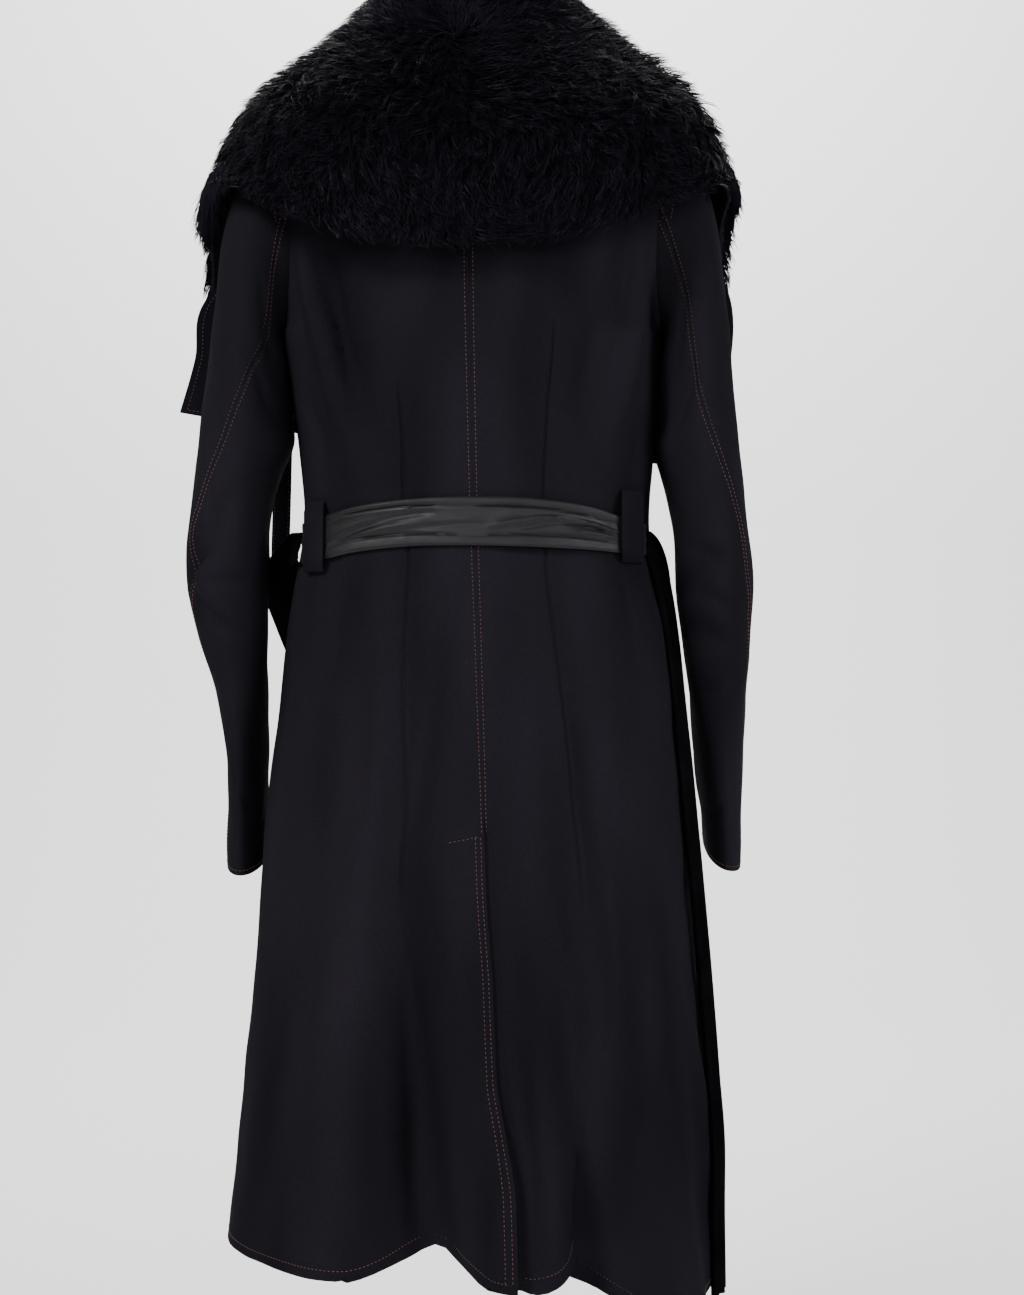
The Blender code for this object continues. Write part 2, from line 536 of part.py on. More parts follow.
def add_back(panel, side):
    rows, vent_row = panel_rows()
    table = spline(SECTIONS, rows)
    edge = np.abs(table[:, 5] if side > 0 else table[:, 4])
    seam = keyed_spline(CENTRE_BACK, -table[:, 1])[:, 1]
    reach = edge - side * seam
    end = math.pi / 2 - side_gap(rows, table[:, 0])
    near = [SEAM_GAP / 2, VENT_LAP / 2, VENT_LAP]
    turns = [np.arcsin(distance / reach) for distance in near]
    for share in BACK_COLUMNS[side]:
        turns.append(turns[2] + (end - turns[2]) * share)
    turns = [side * turn for turn in turns]
    if side > 0:
        left_reach = np.abs(table[:, 4]) + seam
        open_below = rows > vent_row + 0.01
        for distance in (VENT_LAP / 2, VENT_LAP):
            under = -np.arcsin(distance / left_reach)
            spread = SEAM_GAP / 2 * (1 - distance / VENT_LAP / 2)
            shut = np.arcsin(spread / reach)
            turns.insert(0, np.where(open_below, under, shut))
    grid_turn = np.stack(turns, axis=1)
    grid_row = np.repeat(rows[:, None], grid_turn.shape[1], axis=1)
    front = np.zeros_like(grid_row, dtype=bool)
    place = coat_surface(panel)
    outer = place(grid_row, grid_turn, front)
    inner = outer - outward(place, grid_row, grid_turn, front) * CLOTH
    add_body(panel, outer, inner, *WOOL)


def front_turn(rows, side, distance=0.0):
    """The turn of a front edge, or of a line that lies beyond it."""
    table = spline(SECTIONS, rows)
    half = np.abs(table[..., 5] if side > 0 else table[..., 4])
    edge = table[..., 9] if side > 0 else table[..., 8]
    return math.pi - np.arcsin((edge + distance) / half)


def add_front(panel, side):
    rows = panel_rows()[0]
    table = spline(SECTIONS, rows)
    start = math.pi / 2 + side_gap(rows, table[:, 2])
    end = front_turn(rows, side)
    shares = np.linspace(0, 1, FRONT_COLUMNS + 1)
    grid_turn = side * (start[:, None] + (end - start)[:, None] * shares)
    grid_row = np.repeat(rows[:, None], grid_turn.shape[1], axis=1)
    front = np.ones_like(grid_row, dtype=bool)
    place = coat_surface(panel)
    outer = place(grid_row, grid_turn, front)
    inner = outer - outward(place, grid_row, grid_turn, front) * CLOTH
    add_body(panel, outer, inner, *WOOL)


def sleeve_surface(rings, side):
    """A sleeve's outer face by ring and by turn from its outer side towards the back."""
    def plain(ring, turn, _front):
        ring = np.clip(np.asarray(ring, dtype=float), 0, CUFF)
        table = spline(rings, ring)
        middle_x = (table[..., 0] + table[..., 2]) / 2
        middle_z = (table[..., 1] + table[..., 3]) / 2
        half_x = (table[..., 0] - table[..., 2]) / 2
        half_z = (table[..., 1] - table[..., 3]) / 2
        x = middle_x + half_x * np.cos(turn) - side * table[..., 6] * np.sin(turn) ** 2
        y = table[..., 4] - table[..., 5] * np.sin(turn)
        lean = RING_LEAN * table[..., 5] * smooth_step(ring, LEAN_START, LEAN_END)
        z = middle_z + half_z * np.cos(turn) - lean * np.sin(turn)
        return np.stack([x, y, z], axis=-1)

    def place(ring, turn, front):
        points = plain(ring, turn, front)
        depth = np.zeros_like(points[..., 0])
        for crease in SLEEVE_CREASES:
            if crease.side != side:
                continue
            start = np.array([crease.x_start, crease.z_start])
            line = np.array([crease.x_end, crease.z_end]) - start
            length = np.linalg.norm(line)
            offset = points[..., (0, 2)] - start
            along = offset @ line / length ** 2
            away = (offset[..., 0] * line[1] - offset[..., 1] * line[0]) / length
            fade = smooth_step(along, -0.15, 0.1) * (1 - smooth_step(along, 0.55, 1.1))
            behind = smooth_step(np.sin(turn), 0.0, 0.5)
            depth += crease.depth * fade * behind * np.exp(-(away / crease.width) ** 2)
        normal = outward(plain, ring, turn, front)
        return points - side * normal * depth[..., None]
    return place


def add_sleeve(side, rings, side_name):
    place = sleeve_surface(rings, side)
    rows = np.concatenate([np.arange(*span) for span in SLEEVE_SPANS] + [[CUFF]])
    seam = np.radians(spline(rings, rows)[:, 7])
    other = math.radians(FRONT_SEAM_TURN)
    width = spline(rings, rows)[:, 5]
    gap = SLEEVE_SEAM_GAP / 2 / width
    for name, start, end in (
            ("sleeve_upper", other + gap, seam - gap),
            ("sleeve_under", seam + gap, other + 2 * math.pi - gap)):
        shares = np.linspace(0, 1, SLEEVE_COLUMNS[name] + 1)
        grid_turn = start[:, None] + (end - start)[:, None] * shares
        grid_row = np.repeat(rows[:, None], len(shares), axis=1)
        outer = place(grid_row, grid_turn, None)
        normal = -side * outward(place, grid_row, grid_turn, None)
        normal[0, :, 0] = 0
        normal = unit(normal)
        inner = outer - normal * CLOTH
        add_body(f"{name}_{side_name}", outer, inner, *WOOL)


def neck_line(station):
    """The neck seam under each station of the collar."""
    table = spline(COLLAR, np.abs(station))
    turn = np.where(station < 0, -1.0, 1.0) * np.radians(table[..., 9])
    return plain_coat(table[..., 10], turn, table[..., 9] > 90)


def collar_controls(station):
    """The collar's profile points at each station, which is negative on the left."""
    left = station < 0
    table = spline(COLLAR, np.abs(station))
    side = np.where(left, -1.0, 1.0)
    fold = table[..., 0:3].copy()
    fold[..., 0] *= side
    edge = np.where(left[..., None], table[..., 6:9], table[..., 3:6])
    neck = neck_line(station)
    radial = fold - np.array([0.0, COLLAR_CENTRE_Y, 0.0])
    radial[..., 2] = 0
    radial = unit(radial)
    up = np.array([0.0, 0.0, 1.0])
    along = unit(neck_line(station + STEP) - neck_line(station - STEP))
    rise = unit(up - along * np.sum(along * up, axis=-1, keepdims=True))
    away = unit(radial - along * np.sum(along * radial, axis=-1, keepdims=True))
    lift = FOOT_LIFT + FOOT_RISE * smooth_step(np.abs(station), 4, COLLAR_END)
    foot = neck + rise * lift[..., None] - away * (STAND_INSET + 2 * lift[..., None])
    inside = fold - radial * FOLD_RADIUS
    top = fold + up * FOLD_RADIUS
    outside = fold + radial * FOLD_RADIUS
    fall = edge - outside
    bulge = radial + up
    bulge = bulge - unit(fall) * np.sum(bulge * unit(fall), axis=-1, keepdims=True)
    bulge = unit(bulge) * COLLAR_BULGE
    return np.stack([
        foot, foot + (inside - foot) * STAND_MIDDLE, inside, top, outside,
        outside + fall * FALL_UPPER + bulge * BULGE_UPPER,
        outside + fall * FALL_LOWER + bulge * BULGE_LOWER, edge], axis=-2)


def collar_surface(station, profile):
    """The tips of the fur by station from the centre back and by place along the profile."""
    station = np.clip(np.asarray(station, dtype=float), -COLLAR_END, COLLAR_END)
    controls = collar_controls(station)
    inside = np.clip(profile, 0, PROFILE_END)

    def read(place):
        low = np.clip(place.astype(int), 0, PROFILE_END - 1)
        part = (place - low)[..., None]
        rows = [np.take_along_axis(controls, np.clip(low + k, 0, PROFILE_END)[..., None, None],
                                   axis=-2)[..., 0, :] for k in (-1, 0, 1, 2)]
        before, first, second, after = rows
        return 0.5 * (
            2 * first + (second - before) * part
            + (2 * before - 5 * first + 4 * second - after) * part ** 2
            + (3 * first - before - 3 * second + after) * part ** 3)

    points = read(inside)
    beyond = (profile - inside)[..., None]
    slope = (points - read(np.clip(inside - 0.05, 0, PROFILE_END))) / 0.05
    return points + slope * beyond


def collar_grid(stations, profile, depth):
    """A grid of the collar's points, at a depth under the tips of the fur."""
    grid_station = np.repeat(stations[:, None], len(profile), axis=1)
    grid_profile = np.repeat(profile[None, :], len(stations), axis=0)
    later = collar_surface(grid_station + PROBE, grid_profile)
    earlier = collar_surface(grid_station - PROBE, grid_profile)
    lower = collar_surface(grid_station, np.minimum(grid_profile + PROBE, profile[-1]))
    upper = collar_surface(grid_station, np.maximum(grid_profile - PROBE, 0))
    normal = unit(np.cross(lower - upper, later - earlier))
    return collar_surface(grid_station, grid_profile) - normal * depth(grid_profile)[..., None]


def pile_depth(profile):
    return spline([(depth,) for depth in PILE], profile)[..., 0]


def add_collar():
    stations = np.linspace(-COLLAR_END, COLLAR_END, COLLAR_STATIONS)
    profile = np.array(COLLAR_PLACES, dtype=float)
    outer = collar_grid(stations, profile, lambda place: np.zeros_like(place))
    inner = collar_grid(stations, profile, pile_depth)
    add_body("fur_collar", outer, inner, *FUR)
    profile = np.array(UNDER_COLLAR_PLACES)
    outer = collar_grid(stations, profile, lambda place: pile_depth(place) + SEAM_GAP)
    inner = collar_grid(
        stations, profile, lambda place: pile_depth(place) + SEAM_GAP + UNDER_COLLAR_CLOTH)
    add_body("under_collar", outer, inner, *WOOL)


def add_lapel(side, side_name):
    rows = np.arange(LAPEL[0].row, LAPEL[-1].row + 0.1, LAPEL_STEP)
    place_on_panel = coat_surface("front_" + side_name)
    turn = side * front_turn(rows, side, LAPEL_GAP)
    front = np.ones_like(rows, dtype=bool)
    root = place_on_panel(rows, turn, front)
    normal = outward(place_on_panel, rows, turn, front)
    free = spline([point[1:4] if side < 0 else point[4:7] for point in LAPEL],
                  (rows - rows[0]) / (rows[-1] - rows[0]) * (len(LAPEL) - 1))
    back = []
    face = []
    for column in LAPEL_COLUMNS:
        lift = LAPEL_SEAT + LAPEL_LIFT * float(smooth_step(column, 0.0, 0.15))
        point = root * (1 - column) + free * column
        bulge = np.array([0.0, LAPEL_BULGE * math.sin(math.pi * column), 0.0])
        base = point + normal * lift * (1 - column) + bulge
        back.append(base)
        face.append(base + np.array([0.0, LAPEL_CLOTH, 0.0]))
    add_body("lapel_" + side_name, np.stack(face, axis=1), np.stack(back, axis=1), *WOOL)


def add_tab():
    top = np.array(TAB_TOP)
    end = np.array(TAB_END)
    face = []
    back = []
    for part in np.linspace(0, 1, TAB_ROWS):
        middle = top + (end - top) * part
        across = []
        for share in np.linspace(-0.5, 0.5, TAB_COLUMNS):
            slant = TAB_POINT * share * smooth_step(part, 0.85, 1.0)
            across.append(middle + np.array([share * TAB_WIDTH, TAB_BOW * math.sin(3 * part), slant]))
        back.append(across)
        face.append([point + np.array([0.0, LAPEL_CLOTH, 0.0]) for point in across])
    add_body("tab_left", np.array(face), np.array(back), *WOOL)


def add_belt():
    x = np.linspace(BELT[0].x, BELT[-1].x, BELT_POINTS)
    table = keyed_spline(BELT, x)
    across = np.linspace(-1, 1, BELT_COLUMNS)
    grid_x = np.repeat(x[:, None], len(across), axis=1)
    drop = table[:, 1:2] + table[:, 2:3] * across[None, :]
    pleat = BELT_PLEAT * (1 + np.cos(math.pi * BELT_PLEATS * across))[None, :] + 0 * grid_x
    outer = lifted_back(grid_x, drop, BELT_LIFT + LEATHER + pleat)
    inner = lifted_back(grid_x, drop, BELT_LIFT + pleat * 0.5)
    add_body("belt_back", outer, inner, *LEATHER_FINISH)


def add_strap(name, table):
    """A free end of the belt, as a folded strap along its table's points."""
    places = np.linspace(0, len(table) - 1, 2 * len(table) - 1)
    rows = spline(table, places)
    tangent = unit(spline(table, places + 0.05)[:, :3] - spline(table, places - 0.05)[:, :3])
    across = unit(rows[:, 3:6])
    across = unit(across - tangent * np.sum(across * tangent, axis=1, keepdims=True))
    normal = np.cross(tangent, across)
    face = []
    back = []
    for part in np.linspace(-1, 1, STRAP_COLUMNS):
        pleat = STRAP_PLEAT * math.cos(math.pi * STRAP_PLEATS * part)
        middle = rows[:, :3] + across * rows[:, 6:7] * part + normal * pleat
        face.append(middle + normal * LEATHER / 2)
        back.append(middle - normal * LEATHER / 2)
    add_body(name, np.stack(face, axis=1), np.stack(back, axis=1), *LEATHER_FINISH)


def add_loop(loop):
    """A belt loop: a narrow strip that arches over the belt from end to end."""
    along = np.linspace(0, 1, LOOP_ROWS)
    across = np.linspace(-0.5, 0.5, LOOP_COLUMNS)
    raised = np.minimum(np.sin(math.pi * along) * LOOP_SQUARENESS, 1.0)
    middle = loop.x - math.copysign(LOOP_DRAW, loop.x) * raised
    x = middle[:, None] + loop.width * across[None, :]
    drop = loop.drop_top + (loop.drop_end - loop.drop_top) * along[:, None] + 0 * x
    lift = (LOOP_SEAT + LOOP_CLEARANCE * raised)[:, None] + 0 * x
    outer = lifted_back(x, drop, lift + LOOP_CLOTH)
    inner = lifted_back(x, drop, lift)
    add_body(loop.name, outer, inner, *WOOL)


def main():
    for old in list(bpy.data.objects):
        bpy.data.objects.remove(old, do_unlink=True)
    add_back("back_left", -1)
    add_back("back_right", 1)
    add_front("front_left", -1)
    add_front("front_right", 1)
    add_sleeve(-1, SLEEVE_LEFT, "left")
    add_sleeve(1, SLEEVE_RIGHT, "right")
    add_collar()
    add_lapel(-1, "left")
    add_lapel(1, "right")
    add_tab()
    add_belt()
    add_strap("belt_end_left", BELT_END_LEFT)
    add_strap("belt_end_right", BELT_END_RIGHT)
    for loop in BELT_LOOPS:
        add_loop(loop)


main()
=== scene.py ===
"""The looks of a long dark wool coat with a wide fur collar: cloth, sewing, leather and fur.

Every piece repeats the form of the solid that it stands for, at a finer scale. X runs to the
wearer's right, Y to the wearer's front and Z up. Sizes are in metres and turns in degrees.
"""
import math
from collections import namedtuple

import bpy
import numpy as np
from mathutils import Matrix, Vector


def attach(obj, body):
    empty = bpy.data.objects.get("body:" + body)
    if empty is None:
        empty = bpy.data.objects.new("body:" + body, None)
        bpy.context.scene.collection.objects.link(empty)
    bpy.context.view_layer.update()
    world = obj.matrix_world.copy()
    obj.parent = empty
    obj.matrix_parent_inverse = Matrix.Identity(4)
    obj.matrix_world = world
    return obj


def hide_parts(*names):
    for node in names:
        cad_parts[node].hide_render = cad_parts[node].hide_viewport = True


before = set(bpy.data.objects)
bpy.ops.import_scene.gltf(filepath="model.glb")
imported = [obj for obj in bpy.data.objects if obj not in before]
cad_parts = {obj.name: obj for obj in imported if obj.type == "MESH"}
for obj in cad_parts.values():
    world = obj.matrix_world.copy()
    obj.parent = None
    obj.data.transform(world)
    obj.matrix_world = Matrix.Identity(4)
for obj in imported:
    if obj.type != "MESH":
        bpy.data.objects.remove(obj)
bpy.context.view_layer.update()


def table_of(fields, *rows):
    """A table whose rows have named fields."""
    row_type = namedtuple("Row", fields)
    return tuple(row_type(*row) for row in rows)


# Thicknesses and gaps
CLOTH = 0.0025
SEAM_GAP = 0.00004
LAPEL_GAP = 0.0005
LAPEL_CLOTH = 0.0035
UNDER_COLLAR_CLOTH = 0.002
LEATHER = 0.0028
STEP = 0.001
UP = np.array([0.0, 0.0, 1.0])
FORWARD = np.array([0.0, 1.0, 0.0])
BEHIND = np.array([0.0, -1.0, 0.0])

# The coat's section at each level, from the neck seam to the hem. A section runs from its
# back point over the edge, which is the shoulder seam, armhole or side seam, to its front point.
SECTIONS = table_of(
    "back_y back_z front_y front_z left_x right_x edge_z squareness left_front right_front",
    (-0.062, -0.022, 0.066, -0.080, -0.072, 0.072, -0.008, 1.00, 0.046, 0.046),
    (-0.082, -0.056, 0.088, -0.112, -0.128, 0.128, -0.035, 0.95, 0.050, 0.050),
    (-0.099, -0.096, 0.102, -0.144, -0.182, 0.182, -0.062, 0.90, 0.054, 0.052),
    (-0.108, -0.136, 0.110, -0.178, -0.174, 0.174, -0.090, 1.15, 0.058, 0.054),
    (-0.112, -0.176, 0.114, -0.212, -0.162, 0.162, -0.150, 1.40, 0.062, 0.056),
    (-0.113, -0.216, 0.114, -0.240, -0.163, 0.163, -0.212, 1.15, 0.066, 0.058),
    (-0.112, -0.256, 0.112, -0.266, -0.168, 0.168, -0.240, 0.85, 0.068, 0.058),
    (-0.106, -0.305, 0.108, -0.312, -0.1635, 0.165, -0.292, 0.85, 0.070, 0.058),
    (-0.100, -0.355, 0.103, -0.358, -0.157, 0.161, -0.345, 0.85, 0.070, 0.056),
    (-0.096, -0.408, 0.100, -0.408, -0.152, 0.157, -0.408, 0.85, 0.070, 0.055),
    (-0.105, -0.462, 0.107, -0.462, -0.160, 0.162, -0.462, 0.84, 0.070, 0.055),
    (-0.118, -0.520, 0.116, -0.520, -0.169, 0.174, -0.520, 0.83, 0.069, 0.056),
    (-0.129, -0.590, 0.124, -0.592, -0.176, 0.181, -0.593, 0.82, 0.067, 0.057),
    (-0.139, -0.670, 0.131, -0.673, -0.185, 0.189, -0.675, 0.80, 0.064, 0.057),
    (-0.149, -0.760, 0.138, -0.764, -0.193, 0.198, -0.766, 0.78, 0.060, 0.056),
    (-0.160, -0.850, 0.144, -0.854, -0.2005, 0.205, -0.857, 0.77, 0.056, 0.055),
    (-0.171, -0.940, 0.150, -0.944, -0.2095, 0.211, -0.947, 0.76, 0.052, 0.054),
    (-0.183, -1.037, 0.156, -1.032, -0.2185, 0.212, -1.036, 0.75, 0.050, 0.053),
)
HEM = len(SECTIONS) - 1
HEM_DROP = -SECTIONS[HEM].back_z
SHOULDER_ROW = 2
UNDERARM_ROW = 6
ARMHOLE_DEPTH = 0.052
ARMHOLE_PINCH = 0.014
# How fast the armhole's depth dies away inside a panel: extra power and its range of turn
ARMHOLE_FADE = 1.5
ARMHOLE_FADE_START = 0.02
ARMHOLE_FADE_END = 0.35

# The centre back seam, which becomes the edge of the vent and wanders to the right
CENTRE_BACK = table_of(
    "drop x",
    (0.000, -0.004), (0.160, -0.003), (0.390, 0.001),
    (0.560, 0.007), (0.677, 0.011), (0.727, 0.013),
    (0.793, 0.018), (0.880, 0.022), (0.920, 0.030),
    (0.960, 0.037), (1.050, 0.039),
)
VENT_TOP = 0.677
VENT_ROW = float(np.interp(VENT_TOP, [-row.back_z for row in SECTIONS], range(HEM + 1)))
VENT_LAP = 0.032
VENT_CLEARANCE = 0.0012
# The left back's edge flares below the vent's top, from one drop to another, this far to each side
VENT_FLARE = 0.015
FLARE_START = 0.84
FLARE_END = 1.04
FLARE_WIDTH = 0.026
# The right back sinks under it over this much of the drop above the vent's top
VENT_SINK_START = 0.022
VENT_SINK_END = 0.001

# The hem's flutes: turn at the start and at the hem, drop at the start, half width, depth
FLUTES = table_of(
    "turn_start turn_hem start width depth",
    (-26, -11, 0.58, 11, -0.064),
    (17, 33, 0.58, 9, -0.066),
    (40, 53, 0.60, 9, 0.024),
    (-36, -34, 0.66, 12, 0.006),
    (104, 110, 0.66, 11, -0.022),
    (128, 134, 0.62, 12, 0.016),
    (150, 153, 0.70, 9, -0.018),
    (-102, -108, 0.64, 12, -0.024),
    (-130, -134, 0.66, 12, 0.014),
    (-152, -154, 0.70, 9, -0.016),
)

FLUTE_GROWTH = 1.4
# The hem rises in the troughs by this share of their depth, from one drop to another
TROUGH_RISE = 0.27
RISE_START = 0.6
RISE_END = 1.0

# The hem hangs lower at the wearer's right
HEM_DIP = 0.032
HEM_DIP_SIDE = (0.102, 0.126)
HEM_DIP_DROP = (0.90, 1.03)
# From one of these turns to the other, in radians, the flutes go over to the turn alone
SIDE_TURN_START = 1.0
SIDE_TURN_END = 1.5

# Long soft folds beside the arms, on the back
BLADE_FOLDS = table_of(
    "x_top drop_top x_end drop_end width depth",
    (-0.149, 0.160, -0.103, 0.362, 0.010, 0.0045),
    (0.146, 0.168, 0.102, 0.350, 0.010, 0.0038),
    (-0.134, 0.150, -0.090, 0.335, 0.011, -0.0060),
    (0.136, 0.150, 0.086, 0.335, 0.011, -0.0060),
)

# A sleeve's rings from the armhole to the cuff, by their outer and inner points
RING_FIELDS = "outer_x outer_z inner_x inner_z middle_y half_depth pinch seam"
SLEEVE_RIGHT = table_of(
    RING_FIELDS,
    (0.1828, -0.062, 0.1688, -0.2405, 0.000, 0.0520, 0.014, 82),
    (0.1995, -0.079, 0.1692, -0.2540, 0.000, 0.0590, 0.008, 97),
    (0.2140, -0.119, 0.1690, -0.2700, 0.000, 0.0650, 0.003, 103),
    (0.2235, -0.172, 0.1688, -0.2900, 0.000, 0.0685, 0.000, 106),
    (0.2285, -0.232, 0.1685, -0.3160, 0.000, 0.0695, 0.000, 102),
    (0.2320, -0.288, 0.1660, -0.3440, 0.000, 0.0685, 0.000, 88),
    (0.2370, -0.338, 0.1715, -0.3780, -0.002, 0.0665, 0.000, 74),
    (0.2425, -0.388, 0.1780, -0.4130, -0.004, 0.0645, 0.000, 56),
    (0.2480, -0.434, 0.1805, -0.4480, -0.004, 0.0630, 0.000, 43),
    (0.2505, -0.476, 0.1835, -0.4810, 0.000, 0.0620, 0.000, 36),
    (0.2490, -0.518, 0.1880, -0.5170, 0.008, 0.0605, 0.000, 32),
    (0.2475, -0.562, 0.1935, -0.5590, 0.020, 0.0595, 0.000, 29),
    (0.2465, -0.606, 0.1990, -0.6020, 0.034, 0.0585, 0.000, 26),
    (0.2450, -0.650, 0.2045, -0.6450, 0.048, 0.0575, 0.000, 24),
    (0.2450, -0.686, 0.2095, -0.6760, 0.058, 0.0570, 0.000, 22),
    (0.2460, -0.7150, 0.2120, -0.7050, 0.064, 0.0565, 0.000, 22),
)
SLEEVE_LEFT = table_of(
    RING_FIELDS,
    (-0.1828, -0.062, -0.1688, -0.2405, 0.000, 0.0520, 0.014, 78),
    (-0.1995, -0.079, -0.1692, -0.2540, 0.000, 0.0590, 0.008, 104),
    (-0.2165, -0.119, -0.1690, -0.2700, 0.000, 0.0650, 0.003, 124),
    (-0.2280, -0.172, -0.1682, -0.2900, 0.000, 0.0685, 0.000, 121),
    (-0.2345, -0.232, -0.1665, -0.3160, 0.000, 0.0695, 0.000, 103),
    (-0.2405, -0.288, -0.1660, -0.3400, 0.000, 0.0685, 0.000, 86),
    (-0.2450, -0.338, -0.1760, -0.3720, -0.002, 0.0665, 0.000, 74),
    (-0.2520, -0.388, -0.1830, -0.4100, -0.004, 0.0645, 0.000, 54),
    (-0.2585, -0.430, -0.1845, -0.4470, -0.004, 0.0630, 0.000, 30),
    (-0.2600, -0.466, -0.1855, -0.4800, 0.000, 0.0620, 0.000, 24),
    (-0.2495, -0.508, -0.1860, -0.5150, 0.008, 0.0605, 0.000, 22),
    (-0.2360, -0.552, -0.1865, -0.5560, 0.020, 0.0595, 0.000, 21),
    (-0.2290, -0.600, -0.1885, -0.6000, 0.034, 0.0585, 0.000, 20),
    (-0.2275, -0.646, -0.1910, -0.6440, 0.048, 0.0575, 0.000, 20),
    (-0.2290, -0.684, -0.1930, -0.6840, 0.058, 0.0570, 0.000, 20),
    (-0.2305, -0.7145, -0.1935, -0.7155, 0.064, 0.0565, 0.000, 20),
)
CUFF = len(SLEEVE_RIGHT) - 1
# The forearm's rings lean with it, lower at the back, from one ring to another
RING_LEAN = 0.20
LEAN_START = 9
LEAN_END = 13
FRONT_SEAM_TURN = -128

# Creases on the back of a sleeve, by the line that each one follows
SLEEVE_CREASES = table_of(
    "side x_start z_start x_end z_end width depth",
    (-1, -0.262, -0.457, -0.200, -0.378, 0.010, -0.010),
    (-1, -0.262, -0.457, -0.222, -0.505, 0.009, -0.006),
    (1, 0.178, -0.470, 0.226, -0.432, 0.010, -0.005),
    (1, 0.180, -0.500, 0.232, -0.520, 0.010, -0.004),
    (-1, -0.170, -0.330, -0.200, -0.250, 0.012, -0.004),
    (1, 0.170, -0.330, 0.200, -0.250, 0.012, -0.004),
)

# The collar from the centre back to its front end: the middle of its fold, its lower edge on
# each side, and the turn and row of the neck seam under it
COLLAR = table_of(
    "fold_x fold_y fold_z right_x right_y right_z left_x left_y left_z neck_turn neck_row",
    (0.000, -0.068, 0.072, 0.000, -0.142, -0.178, 0.000, -0.142, -0.178, 0, 0.0),
    (0.034, -0.062, 0.074, 0.072, -0.140, -0.170, -0.074, -0.140, -0.174, 24, 0.0),
    (0.056, -0.044, 0.073, 0.145, -0.124, -0.146, -0.152, -0.122, -0.148, 48, 0.0),
    (0.066, -0.018, 0.069, 0.213, -0.082, -0.118, -0.209, -0.080, -0.120, 70, 0.0),
    (0.070, 0.012, 0.056, 0.238, -0.010, -0.110, -0.243, -0.010, -0.110, 90, 0.0),
    (0.073, 0.040, 0.030, 0.239, 0.066, -0.124, -0.254, 0.060, -0.124, 108, 0.0),
    (0.072, 0.062, 0.004, 0.243, 0.122, -0.170, -0.260, 0.118, -0.190, 124, 0.0),
    (0.067, 0.082, -0.020, 0.240, 0.148, -0.238, -0.262, 0.142, -0.272, 133, 0.0),
    (0.060, 0.099, -0.050, 0.172, 0.172, -0.262, -0.186, 0.172, -0.298, 139, 0.05),
)
COLLAR_END = len(COLLAR) - 1
FOLD_RADIUS = 0.014
COLLAR_CENTRE_Y = 0.012
STAND_MIDDLE = 0.55
COLLAR_BULGE = 0.024
# Two points of the fall, as shares of its length and of the bulge
FALL_UPPER = 0.33
BULGE_UPPER = 0.60
FALL_LOWER = 0.68
BULGE_LOWER = 1.13
STAND_INSET = 0.0050
FOOT_LIFT = 0.0004
FOOT_RISE = 0.007
# The pile's depth along the profile: neck seam, stand, three points of the fold, fall, edge
PILE = (0.006, 0.007, 0.008, 0.008, 0.010, 0.020, 0.021, 0.010)
PROFILE_END = len(PILE) - 1
UNDER_COLLAR_START = 5.0
PROBE = 0.02

# The lapels' free edges, from the collar to the lower corner
LAPEL = table_of(
    "row left_x left_y left_z right_x right_y right_z",
    (1.50, -0.196, 0.082, -0.130, 0.204, 0.082, -0.130),
    (3.50, -0.257, 0.084, -0.195, 0.240, 0.084, -0.190),
    (5.50, -0.266, 0.087, -0.246, 0.239, 0.086, -0.262),
    (7.50, -0.281, 0.091, -0.297, 0.218, 0.088, -0.350),
)
LAPEL_BULGE = 0.006
LAPEL_LIFT = 0.003
LAPEL_SEAT = 0.0008
LAPEL_WAVE = 0.0012

# The strap end that hangs behind the left lapel
TAB_WIDTH = 0.017
TAB_TOP = (-0.183, 0.0958, -0.297)
TAB_END = (-0.187, 0.0985, -0.440)
TAB_POINT = 0.011
TAB_BOW = 0.0015

# The leather belt across the back, from the left loop to the right one
BELT = table_of(
    "x middle_drop half_height",
    (-0.1470, 0.4290, 0.0190), (-0.1000, 0.4190, 0.0200),
    (-0.0500, 0.4140, 0.0205), (0.0000, 0.4130, 0.0210),
    (0.0500, 0.4140, 0.0210), (0.1000, 0.4180, 0.0190),
    (0.1480, 0.4260, 0.0140),
)
BELT_LIFT = 0.0014
BELT_PLEAT = 0.0012
BELT_PLEATS = 2.5

